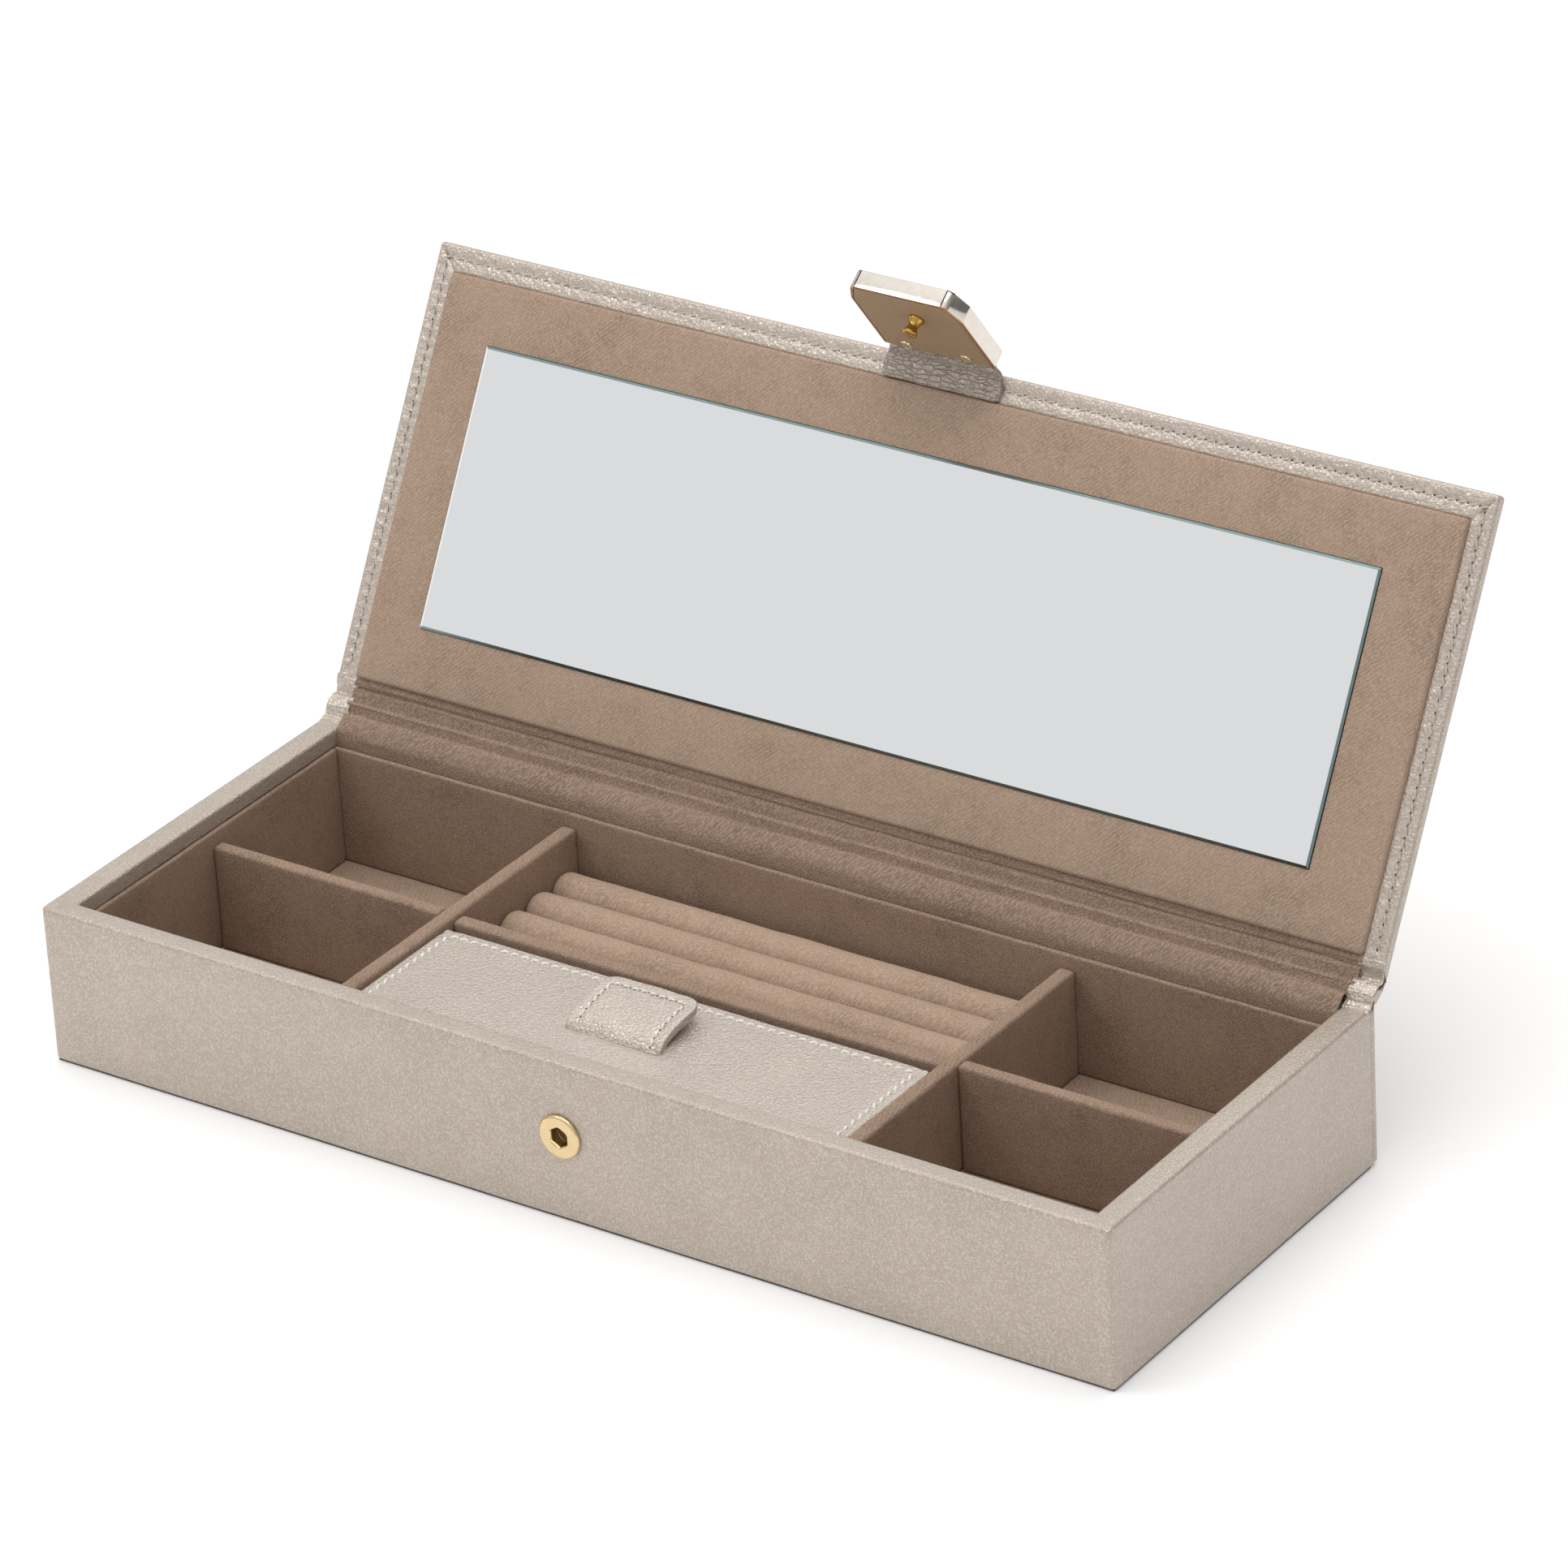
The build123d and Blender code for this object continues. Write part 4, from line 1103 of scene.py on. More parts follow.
# ---- suede inside -------------------------------------------------------------------------
@dataclass
class Interior:
    """Suede-wrapped boards, dividers, ledges and the ring roll bed."""
    fuzz: float = 0.12 * MM
    fuzz_size: float = 5.0 * MM
    liner_round: float = 0.65 * MM
    divider_round: float = 1.0 * MM

    def build(self) -> None:
        """Make every lined piece of the tray."""
        self.board("floor_liner", self.liner_round, FLOOR_SUEDE)
        # liners, dividers and ledges take the darker suede copy: painted shade
        for name in ("front_liner_left", "front_liner_right", "front_liner_centre", "left_liner",
                     "right_liner", "rear_liner", "inner_lid_ledge_left", "inner_lid_ledge_right"):
            self.board(name, self.liner_round, SUEDE)
        for name in ("long_divider_left", "long_divider_right", "cross_divider_left", "cross_divider_right",
                     "centre_divider"):
            self.board(name, self.divider_round, SUEDE)
        self.board("roll_bed", 0.8 * MM, SUEDE)

    def board(self, node: str, edge: float, finish: Finish) -> None:
        """One wrapped board: soft edges and a slightly uneven nap."""
        low, high = edges_of(node)
        points, faces = rounded_box(low, high, edge, 2.6 * MM)
        points = ripple(points, self.fuzz, self.fuzz_size, len(node))
        middle = (low + high) / 2
        inset = self.fuzz * 0.6
        shrink = Vector([1 - inset * 2 / max(high[i] - low[i], 1e-6) for i in range(3)])
        points = [middle + Vector([(p - middle)[i] * shrink[i] for i in range(3)]) for p in points]
        settle(make_piece(f"suede_{node}", points, faces, (finish,)), Body.BASE, node)


@dataclass
class RingRolls:
    """Four stuffed rolls that hold rings between them."""
    count: int = 4
    end_round: float = 2.6 * MM
    spans: int = 30
    slack: float = 0.22 * MM

    def build(self) -> None:
        """Make the rolls, seam side down."""
        for number in range(1, self.count + 1):
            self.roll(f"ring_roll_{number}", number)

    def roll(self, node: str, number: int) -> None:
        """One roll: round on top, straight-sided below, soft at both ends."""
        low, high = edges_of(node)
        radius = (high.y - low.y) / 2
        centre = Vector((0, low.y + radius, high.z - radius))
        outline = [(-radius, low.z - centre.z), (-radius, (low.z - centre.z) * 0.5)]
        arc = spaced(0, math.pi, math.pi / self.spans)
        outline += [(-radius * math.cos(a), radius * math.sin(a)) for a in arc]
        outline += [(radius, (low.z - centre.z) * 0.5), (radius, low.z - centre.z)]
        rows = []
        for x in edged(low.x + 0.2 * MM, high.x - 0.2 * MM, self.end_round, 3 * MM):
            inside = min(x - low.x, high.x - x)
            lost = max(0.0, self.end_round - inside) / self.end_round
            pull = self.end_round * (1 - math.sqrt(max(0.0, 1 - lost * lost))) * 0.8
            scale = 1 - pull / radius
            row = [centre + Vector((x, y * scale, z * scale if z > 0 else z)) for y, z in outline]
            rows.append(ripple(row, self.slack, 11 * MM, number))
        points, faces = skin(rows)
        made = make_piece(node.replace("ring_roll", "stuffed_roll"), points, faces, (ROLL_SUEDE,), sharp=60.0)
        settle(made, Body.BASE, node)


# ---- snap socket --------------------------------------------------------------------------
@dataclass
class SnapSocket:
    """Turned socket in the front wall with its spring ring."""
    flange: float = 6.0 * MM
    neck: float = 3.25 * MM
    bore: float = 2.5 * MM
    thick: float = 1.2 * MM
    mouth: float = 1.12
    spans: int = 72

    def build(self) -> None:
        """Make the turned socket and dress the spring."""
        low, high = edges_of("snap_socket")
        centre = Vector(((low.x + high.x) / 2, low.y, (low.z + high.z) / 2))
        deep = high.y - low.y
        thick = self.thick
        rows = [self.circle(self.neck, -deep, centre), self.circle(self.neck, -thick, centre)]
        edge = ((0.25, thick / MM), (0.0, 0.95), (0.0, 0.72), (0.1, 0.46), (0.3, 0.22), (0.62, 0.05),
                (1.0, 0.0), (1.6, 0.06))
        rows += [self.circle(self.flange - inset * MM, -h * MM, centre) for inset, h in edge]
        mouth = ((1.0, 0.08), (0.5, 0.04))
        rows += [self.circle(self.bore + wider * MM, -h * MM, centre) for wider, h in mouth]
        for share, wider, h in ((0.8, 0.32, 0.1), (1.0, 0.12, 0.3), (1.0, -0.12, 0.75), (1.0, -0.15, 1.2)):
            rows.append(self.circle(self.bore + wider * MM, -h * MM, centre, share))
        rows.append(self.circle(self.bore, -2.0 * MM, centre))
        rows.append(self.circle(self.bore, -deep, centre))
        points, faces = skin(rows, wrap=True, caps=False)
        made = make_piece("snap_socket_turned", points, faces, (SOCKET_GOLD,), sharp=34.0)
        settle(made, Body.BASE, "snap_socket")
        dress("snap_spring", SPRING_STEEL)

    def circle(self, radius: float, height: float, centre: Vector, hexed: float = 0.0) -> list[Vector]:
        """Ring of the socket, blended towards a six-sided mouth."""
        out = []
        for i in range(self.spans):
            a = math.tau * i / self.spans
            local = (a + math.pi / 6) % (math.pi / 3) - math.pi / 6
            flat = math.cos(math.pi / 6) / math.cos(local) * self.mouth
            r = radius * (1 + hexed * (flat - 1))
            out.append(centre + Vector((r * math.cos(a), -height, r * math.sin(a))))
        return out


# ---- inner lid ----------------------------------------------------------------------------
@dataclass
class InnerLid:
    """Leather flap over the front bay with its sewn edge and hinge fold."""
    edge: float = 1.0 * MM
    crown: float = 0.3 * MM
    seam_in: float = 3.0 * MM
    seam_dip: float = 0.28 * MM
    slot_y: float = -31.3 * MM
    slot_dip: float = 0.75 * MM
    wrinkle: float = 0.08 * MM
    tongue: float = 0.35 * MM

    def build(self) -> None:
        """Make the flap, its lining, its hinge fold and its stitches."""
        self.low, self.high = edges_of("inner_lid_leather")
        self.tab_low, self.tab_high = edges_of("pull_tab")
        pad = Pillow(self.low, self.high, self.edge, 1.6 * MM, corner=1.6 * MM, dent=self.dent)
        points, faces = pad.build()
        made = make_piece("inner_lid_cover", points, faces, (FLAP_LEATHER,))
        settle(made, Body.INNER_LID, "inner_lid_leather", "inner_lid_board")
        low, high = edges_of("inner_lid_lining")
        points, faces = rounded_box(low, high, 0.25 * MM, 6 * MM)
        settle(make_piece("inner_lid_suede", points, faces, (SUEDE,)), Body.INNER_LID, "inner_lid_lining")
        self.hinge()
        self.stitches()

    def dent(self, x: float, y: float) -> float:
        """Rise and fall of the flap's leather over its board."""
        low, high = self.low, self.high
        u, v = (x - low.x) / (high.x - low.x), (y - low.y) / (high.y - low.y)
        out = self.crown * (math.sin(math.pi * u) * math.sin(math.pi * v)) ** 0.4
        for gap in (x - low.x, high.x - x, high.y - y):
            out -= self.seam_dip * math.exp(-((gap - self.seam_in) / (0.9 * MM)) ** 2)
        out += 0.16 * MM * noise.noise(Vector((x, y, 0)) / (17 * MM))
        out += 0.05 * MM * noise.noise(Vector((x, y, 5)) / (4 * MM))
        if self.tab_low.x - 1.2 * MM < x < self.tab_high.x + 1.2 * MM:
            out -= self.slot_dip * math.exp(-((y - self.slot_y) / (1.1 * MM)) ** 2)
        for end in (self.tab_low.x - 1.0 * MM, self.tab_high.x + 1.0 * MM):
            away = math.hypot((x - end) / (2.2 * MM), (y - self.slot_y) / (1.6 * MM))
            out += 0.3 * MM * math.exp(-away ** 2) * math.cos(away * 2.2)
        return out

    def hinge(self) -> None:
        """Leather fold from the front wall to the flap, grooved along its bend."""
        low, _ = edges_of("inner_lid_hinge")
        z = self.high.z
        bend = ((0.1, -0.9), (0.5, -0.1), (1.1, -0.35), (1.7, -0.2))
        spots = [(low.y + y * MM, z + up * MM) for y, up in bend]
        spots += [(self.low.y + y * MM, z + up * MM) for y, up in ((0.7, 0.1), (2.4, 0.12))]
        xs = spaced(self.low.x, self.high.x, 3 * MM)

        def lift(x: float, i: int) -> float:
            return self.wrinkle * noise.noise(Vector((x / (5 * MM), i, 0)))
        rows = extrude_x(smooth_line(spots, 4), xs, lift, self.tongue)
        points, faces = skin(rows)
        made = make_piece("inner_lid_fold", points, faces, (FLAP_LEATHER,))
        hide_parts("inner_lid_hinge")
        cross(made, (Body.BASE, Body.INNER_LID))

    def stitches(self) -> None:
        """Pale slanted stitches along the left, back and right edges."""
        i = self.seam_in
        z = self.high.z + 0.02 * MM
        left, right, back, front = self.low.x + i, self.high.x - i, self.high.y - i, self.low.y + 2.5 * MM
        line = StitchLine("inner_lid_stitches", THREAD, 3.1 * MM, 2.5 * MM, 0.85 * MM, 0.32 * MM, slant=0.34,
                          hole=0.38 * MM)
        corner = 1.2 * MM
        turn = [Vector((left + corner - corner * math.cos(a), back - corner + corner * math.sin(a), z))
                for a in spaced(0, math.pi / 2, math.pi / 8)]
        path = [Vector((left, front, z)), *turn]
        path += [Vector((right - (p.x - left), p.y, z)) for p in reversed(turn)] + [Vector((right, front, z))]
        fine = []
        for p, q in zip(path, path[1:]):
            count = max(1, round((q - p).length / (2 * MM)))
            fine += [p.lerp(q, k / count) for k in range(count)]
        fine.append(path[-1])
        fine = [Vector((p.x, p.y, z + self.dent(p.x, p.y) - 0.05 * MM)) for p in fine]
        settle(line.sew(seam_path(fine, Vector((0, 0, 1)))), Body.INNER_LID)


@dataclass
class PullTab:
    """Arched two-layer leather tab with rounded corners and an edge seam."""
    layer: float = 0.95 * MM
    corner: float = 4.2 * MM
    seam_in: float = 3.2 * MM
    bend: tuple[Pair, ...] = ((-0.7, -0.35), (0.5, 1.15), (2.6, 2.85), (5.2, 3.8), (10.0, 4.7), (15.0, 5.3),
                              (19.2, 5.65))

    def build(self) -> None:
        """Make both layers and the seam."""
        self.low, self.high = edges_of("pull_tab")
        root_y = self.high.y - self.bend[-1][0] * MM
        top = edges_of("inner_lid_leather")[1].z
        self.line = smooth_line([(root_y + y * MM, top + z * MM) for y, z in self.bend], 6)
        self.reach = [0.0]
        for p, q in zip(self.line, self.line[1:]):
            self.reach.append(self.reach[-1] + math.hypot(q[0] - p[0], q[1] - p[1]))
        grid = []
        for finish, drop, name in ((FLAP_LEATHER, 0.0, "pull_tab_upper"),
                                   (FLAP_LEATHER, self.layer + 0.04 * MM, "pull_tab_lower")):
            grid.append(self.sheet_layer(name, finish, drop))
        settle(grid[0], Body.TAB, "pull_tab")
        settle(grid[1], Body.TAB)
        self.stitches()

    def spot(self, x: float, run: float, drop: float) -> tuple[Vector, Vector]:
        """Place and normal on the tab at a distance along its bend."""
        i = max(1, next((k for k, r in enumerate(self.reach) if r >= run - 1e-9), len(self.reach) - 1))
        share = (run - self.reach[i - 1]) / (self.reach[i] - self.reach[i - 1])
        a, b = self.line[i - 1], self.line[i]
        along = Vector((0, b[0] - a[0], b[1] - a[1])).normalized()
        up = Vector((0, -along.z, along.y))
        middle = (self.low.x + self.high.x) / 2
        half = (self.high.x - self.low.x) / 2
        sag = 0.45 * MM * ((x - middle) / half) ** 2 * min(1.0, run / self.reach[-1] + 0.2)
        base = Vector((x, a[0] + (b[0] - a[0]) * share, a[1] + (b[1] - a[1]) * share))
        return base - up * (drop + sag * 0.6), up

    def sheet_layer(self, name: str, finish: Finish, drop: float) -> bpy.types.Object:
        """One leather layer with a pillowed edge."""
        total = self.reach[-1]
        out = 0.0 if drop == 0.0 else 0.12 * MM
        low = Vector((self.low.x + out, 0, -self.layer))
        high = Vector((self.high.x - out, total - out, 0))

        middle, half = (low.x + high.x) / 2, (high.x - low.x) / 2

        def place(x: float, y: float, z: float) -> Vector:
            short = max(0.0, self.corner - max(y, 0))
            narrow = half - self.corner + math.sqrt(max(0.0, self.corner ** 2 - short ** 2))
            square = middle + (x - middle) * half / narrow
            base, up = self.spot(square, min(max(y, 0), total), drop)
            return base + up * z

        def dent(x: float, y: float) -> float:
            gap = min(x - low.x, high.x - x, high.y - y)
            seam = -0.2 * MM * math.exp(-((gap - self.seam_in) / (0.8 * MM)) ** 2)
            wrinkle = 0.14 * MM * noise.noise(Vector((x / (6 * MM), y / (2.4 * MM), 1)))
            return (seam + wrinkle) * (1.0 if drop == 0.0 else 0.2)
        pad = Pillow(low, high, 0.4 * MM, 0.9 * MM, corner=self.corner, dent=dent, place=place)
        points, faces = pad.build()
        return make_piece(name, points, faces, (finish,))

    def stitches(self) -> None:
        """Stitch rows along both sides and round the free end."""
        i = self.seam_in
        left, right, end = self.low.x + i, self.high.x - i, self.reach[-1] - i
        start = 1.4 * MM
        plan = [(left, r) for r in spaced(start, end, 1.2 * MM)][:-1]
        turn = 1.6 * MM
        plan = [(x, r) for x, r in plan if r < end - turn]
        plan += [(left + turn - turn * math.cos(a), end - turn + turn * math.sin(a))
                 for a in spaced(0, math.pi / 2, math.pi / 8)]
        plan += [(x, end) for x in spaced(left + turn, right - turn, 2 * MM)][1:-1]
        plan += [(right - turn + turn * math.cos(a), end - turn + turn * math.sin(a))
                 for a in reversed(spaced(0, math.pi / 2, math.pi / 8))]
        plan += [(right, r) for r in reversed(spaced(start, end - turn, 1.2 * MM))][1:]
        path = []
        for x, r in plan:
            base, up = self.spot(x, r, 0.16 * MM)
            path.append((base, up))
        line = StitchLine("pull_tab_stitches", THREAD, 2.7 * MM, 1.95 * MM, 0.72 * MM, 0.3 * MM, slant=0.28,
                          hole=0.24 * MM)
        settle(line.sew(path), Body.TAB)


# ---- spine --------------------------------------------------------------------------------
@dataclass
class Spine:
    """Narrow folding strip behind the tray, its outer folds and its suede gussets."""
    edge: float = 0.75 * MM
    thick: float = 0.45 * MM
    wedge: float = 6.2 * MM
    play: float = 0.12 * MM
    foot: float = 0.75 * MM
    sheet: float = 0.5 * MM
    hollow: float = 1.1 * MM

    def build(self) -> None:
        """Make the block, its outer folds, end wedges and both suede gussets."""
        self.block()
        self.outer_folds()
        self.wedges()
        self.border_folds()
        self.gussets()

    def block(self) -> None:
        """Leather-covered block, creased across at its ends."""
        leaf = LEAVES[Body.STRIP]
        low, high = leaf.box("hinge_strip_leather")
        points, faces = rounded_box(low, high, self.edge, 2.2 * MM)
        deep = high.z - low.z
        placed = []
        for p in points:
            near_end = max(0.0, 1 - (high.x - abs(p.x)) / (14 * MM))
            crumple = noise.noise(Vector((p.x / (9 * MM), p.y / (1.3 * MM), p.z / (1.6 * MM))))
            p = p + Vector((0, 0, (0.1 + 0.16 * near_end) * MM * crumple))
            if abs(p.x) < high.x - self.wedge - 0.3 * MM:
                p.z = min(p.z, high.z - self.hollow)
            foot = low.y + self.play + (self.foot - self.play) * (p.z - low.z) / deep
            head = high.y - self.play - (p.z - low.z)
            p.y = foot + (p.y - low.y) / (high.y - low.y) * (head - foot)
            placed.append(leaf.at(p.x, p.y, p.z))
        placed = ripple(placed, 0.07 * MM, 2.5 * MM, 5)
        made = make_piece("spine_block", placed, faces, (COVER_LEATHER,))
        settle(made, Body.STRIP, "hinge_strip_leather", "hinge_strip_core", "hinge_strip_lining")

    def outer_folds(self) -> None:
        """Leather folds outside, from the rear wall to the strip and on to the lid."""
        strip, lid = LEAVES[Body.STRIP], LEAVES[Body.LID]
        cover = edges_of("rear_cover_leather")[1]
        high = strip.box("hinge_strip_leather")[1]
        half = cover.x - 0.4 * MM
        first = [(cover.y - 0.05 * MM, cover.z - 2.2 * MM), (cover.y + 0.02 * MM, cover.z - 1.0 * MM)]
        first += [self.flat(strip, s, 0.06) for s in (0.35, 1.1, 2.0)]
        last = [self.flat(strip, high.y / MM - 1.4, 0.06), self.flat(strip, high.y / MM - 0.5, 0.03)]
        last += [self.flat(lid, s, 0.06) for s in (0.7, 1.5, 2.4)]
        folds = (("spine_fold_low", first, (Body.BASE, Body.STRIP)),
                 ("spine_fold_high", last, (Body.STRIP, Body.LID)))
        for name, section, pair in folds:
            rows = extrude_x(smooth_line(section, 4), spaced(-half, half, 4 * MM), self.slack, -self.thick)
            points, faces = skin(rows)
            made = make_piece(name, points, faces, (COVER_LEATHER,))
            cross(made, pair)

    def slack(self, x: float, i: int) -> float:
        """Faint waviness of the outer folds."""
        return 0.07 * MM * noise.noise(Vector((x / (7 * MM), i * 0.7, 2)))

    def flat(self, leaf: Leaf, s: float, o: float) -> Pair:
        """(y, z) of leaf coordinates given in millimetres."""
        p = leaf.at(0, s * MM, o * MM)
        return p.y, p.z

    def wedges(self) -> None:
        """Leather turned over between the rim and the foot of the block."""
        cover = edges_of("base_leather")[1]
        rear = edges_of("rear_cover_leather")[1]
        for side, name in ((-1, "spine_corner_left"), (1, "spine_corner_right")):
            low = Vector((cover.x - self.wedge, cover.y - 1.9 * MM, rear.z - 2.5 * MM))
            high = Vector((cover.x - 0.25 * MM, rear.y - 0.15 * MM, cover.z - 0.42 * MM))
            if side < 0:
                low.x, high.x = -high.x, -low.x
            points, faces = rounded_box(low, high, 1.1 * MM, 1.2 * MM)
            points = ripple(points, 0.12 * MM, 1.8 * MM, 8 + side)
            settle(make_piece(name, points, faces, (COVER_LEATHER,)), Body.BASE)

    def border_folds(self) -> None:
        """Leather that dips from the block's ends up to the lid's border."""
        strip, lid = LEAVES[Body.STRIP], LEAVES[Body.LID]
        low, high = strip.box("hinge_strip_leather")
        face = lid.box("lid_leather")[1].z
        s, o = high.y / MM, high.z / MM
        dips = ((0.9, 0.02), (2.3, 0.3), (3.8, 0.15), (5.0, -0.35), (s - 0.4, -0.9))
        rises = ((2.5, -0.7), (3.5, -0.15), (4.6, 0.05), (5.6, 0.05))
        section = [self.flat(strip, along, o + out) for along, out in dips]
        section += [self.flat(lid, along, face / MM + out) for along, out in rises]
        rim = edges_of("base_leather")[1]
        y, z = rim.y / MM, rim.z / MM
        under = [(y - 1.6, z - 0.2), (y - 0.5, z + 0.12), (y + 0.6, z + 0.5), (y + 1.2, z + 1.5)]
        under = [(a * MM, b * MM) for a, b in under]
        under += [self.flat(strip, along, o + out) for along, out in ((0.75, -0.35), (1.6, 0.0))]
        pairs = ((Body.STRIP, Body.LID), (Body.BASE, Body.STRIP))
        folds = (("border_fold", section, pairs[0], 2, 6), ("rim_fold", under, pairs[1], 1, 4))
        for side, word in ((-1, "left"), (1, "right")):
            ends = sorted((side * (high.x - self.wedge - 1 * MM), side * (high.x - 0.1 * MM)))
            for name, line, pair, start, end in folds:
                stations = spaced(ends[0], ends[1], 0.8 * MM)
                rows = extrude_x(smooth_line(line, 4), stations, self.crumple, self.sheet)
                points, faces = skin(rows)
                made = make_piece(f"{name}_{word}", points, faces, (BORDER_LEATHER,))
                cross(made, pair)

    def crumple(self, x: float, i: int) -> float:
        """Fine creases of leather squeezed in a fold."""
        return 0.22 * MM * noise.noise(Vector((x / (2.6 * MM), i * 0.55, 9)))

    def gussets(self) -> None:
        """Suede from behind the liner up over the strip to the lid panel, in two soft folds."""
        half = edges_of("gusset_lining_lid")[1].x
        base_half = edges_of("gusset_lining_base")[1].x
        low = [(53.45, 37.0), (53.5, 41.0), (54.2, 43.6), (56.0, 45.8), (58.0, 47.1), (59.4, 46.45),
               (60.3, 48.7)]
        lid, face = LEAVES[Body.LID], LEAVES[Body.LID].box("lid_leather")[1].z / MM
        high = [(60.3, 48.7), (61.2, 49.1), (62.2, 48.45), (63.3, 50.7)]
        over = ((2.6, 0.1), (3.1, -0.5), (3.6, -0.1), (4.4, 0.1), (5.2, 0.2), (6.3, 0.05))
        high += [tuple(v / MM for v in self.flat(lid, s, face + o)) for s, o in over]
        spec = (("gusset_low", low, base_half, (Body.BASE, Body.STRIP), "gusset_lining_base", 58.2, 59.9),
                ("gusset_high", high, half, (Body.STRIP, Body.LID), "gusset_lining_lid", 62.2, 64.3))
        for name, section, wide, pair, node, start, end in spec:
            line = smooth_line([(y * MM, z * MM) for y, z in section], 6)
            rows = extrude_x(line, spaced(-wide, wide, 3 * MM), self.soft_fold, self.sheet)
            points, faces = skin(rows)
            # the gussets take the darkest suede copy: painted shade in the spine fold
            made = make_piece(name, points, faces, (GUSSET_SUEDE_PAINTED_SHADE,), sharp=70.0)
            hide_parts(node)
            cross(made, pair)

    def soft_fold(self, x: float, i: int) -> float:
        """Unevenness of the suede folds, stronger at both ends."""
        near_end = max(0.0, 1 - (152 * MM - abs(x)) / (20 * MM))
        slow = noise.noise(Vector((x / (34 * MM), i * 0.11, 0)))
        quick = noise.noise(Vector((x / (8 * MM), i * 0.3, 4)))
        return (0.28 * slow + (0.08 + 0.25 * near_end) * quick) * MM


# ---- lid ----------------------------------------------------------------------------------
@dataclass
class LidLeaf:
    """Leather-wrapped lid board with a sewn border, suede panel and mirror."""
    corner: float = 1.2 * MM
    edge: float = 1.0 * MM
    pitch: float = 3.1 * MM
    pucker: float = 0.3 * MM
    groove: float = 0.42 * MM
    seam: float = 3.1 * MM

    def build(self) -> None:
        """Make the cover, its stitches, the panel and the mirror."""
        self.leaf = LEAVES[Body.LID]
        self.low, self.high = self.leaf.box("lid_leather")
        self.panel_low, self.panel_high = self.leaf.box("lid_lining_panel")
        self.side = self.high.x - self.panel_high.x
        self.far = self.high.y - self.panel_high.y
        self.face = self.high.z
        self.cover()
        self.stitches()
        self.panel()
        self.mirror()
        dress("lid_board", GREY_BOARD)

    def profile(self) -> list[tuple]:
        """Points (side inset, far inset, o) from the outer face round to the border's inner edge."""
        e = self.edge
        points = []
        for a in spaced(0, math.pi / 2, math.pi / 10):
            points.append((e - e * math.sin(a), e - e * math.sin(a), e - e * math.cos(a)))
        points += [(0.0, 0.0, self.face * share) for share in (0.4, 0.55)]
        r = 0.85 * MM
        for a in spaced(0, math.pi / 2, math.pi / 10):
            points.append((r - r * math.cos(a), r - r * math.cos(a), self.face - r + r * math.sin(a)))
        for share in (0.22, 0.3, 0.38, 0.44, 0.5, 0.56, 0.62, 0.7, 0.8, 0.9, 0.97):
            points.append((self.side * share, self.far * share, self.face))
        points.append((self.side * 1.02, self.far * 1.02, self.face - 0.3 * MM))
        points.append((self.side * 1.1, self.far * 1.1, self.face - 1.2 * MM))
        return points

    def cover(self) -> None:
        """Leather over the whole leaf, mitred at the corners, bevelled at the fold."""
        plan = UPlan(self.high.x, 0.3 * MM, self.high.y, self.corner, 0.95 * MM)
        rows = []
        for a, b, o in self.profile():
            ring = plan.ring(a, b, start=0.3 * MM + o)
            row, walked, previous = [], 0.0, None
            for x, t in ring:
                if previous is not None:
                    walked += math.hypot(x - previous[0], t - previous[1])
                previous = (x, t)
                on_border = a > self.edge * 0.9 and o > self.face * 0.5
                lift = self.border_lift(x, t, a, walked) if on_border else 0.0
                row.append(self.leaf.at(x, t, o + lift))
            rows.append(ripple(row, 0.07 * MM, 18 * MM, 2))
        points, faces = skin(rows, ring=False, wrap=False, caps=True)
        width = len(rows[0])
        faces.append(tuple([k * width for k in range(len(rows))]
                           + [k * width + width - 1 for k in reversed(range(len(rows)))]))
        border = next(i for i, spot in enumerate(self.profile()) if spot[2] >= self.face - 0.3 * MM)
        span = width - 1
        marks = [1 if border * span <= i < (len(rows) - 1) * span else 0 for i in range(len(faces))]
        made = make_piece("lid_cover", points, faces, (COVER_LEATHER, BORDER_LEATHER), marks)
        settle(made, Body.LID, "lid_leather")

    def border_lift(self, x: float, t: float, inset: float, walked: float) -> float:
        """Height of the border: a stitched groove with puckers and a mitre fold."""
        from_side = self.high.x - abs(x)
        from_far = self.high.y - t
        across = from_side / self.side - from_far / self.far
        mitre = 0.5 * MM * math.exp(-(across * self.side / (0.4 * MM)) ** 2)
        away = inset - self.seam
        phase = math.cos(math.tau * walked / self.pitch)
        groove = self.groove * math.exp(-(away / (0.75 * MM)) ** 2) * (0.65 + 0.35 * phase)
        sideways = math.exp(-((abs(away) - 1.0 * MM) / (0.9 * MM)) ** 2)
        crumple = noise.noise(Vector((x, t, 0)) / (1.9 * MM))
        crumple += 0.6 * noise.noise(Vector((t, x, 3)) / (0.9 * MM))
        return self.pucker * sideways * (crumple - 0.5 * phase) - groove - mitre

    def stitches(self) -> None:
        """Tonal stitches sunk in the border."""
        inset_far = self.seam * self.far / self.side
        x, far = self.high.x - self.seam, self.high.y - inset_far
        o = self.face - self.groove * 0.55
        inner = self.leaf.at(0, 0, 1) - self.leaf.at(0, 0, 0)
        spots = [(-x, s) for s in spaced(8 * MM, far, 4 * MM)]
        spots += [(v, far) for v in spaced(-x, x, 4 * MM)][1:]
        spots += [(x, s) for s in reversed(spaced(8 * MM, far, 4 * MM))][1:]
        path = [(self.leaf.at(a, s, o), inner) for a, s in spots]
        line = StitchLine("lid_border_stitches", BORDER_THREAD, self.pitch, 2.3 * MM, 0.6 * MM, 0.12 * MM,
                          slant=0.3, hole=0.26 * MM)
        settle(line.sew(path), Body.LID)

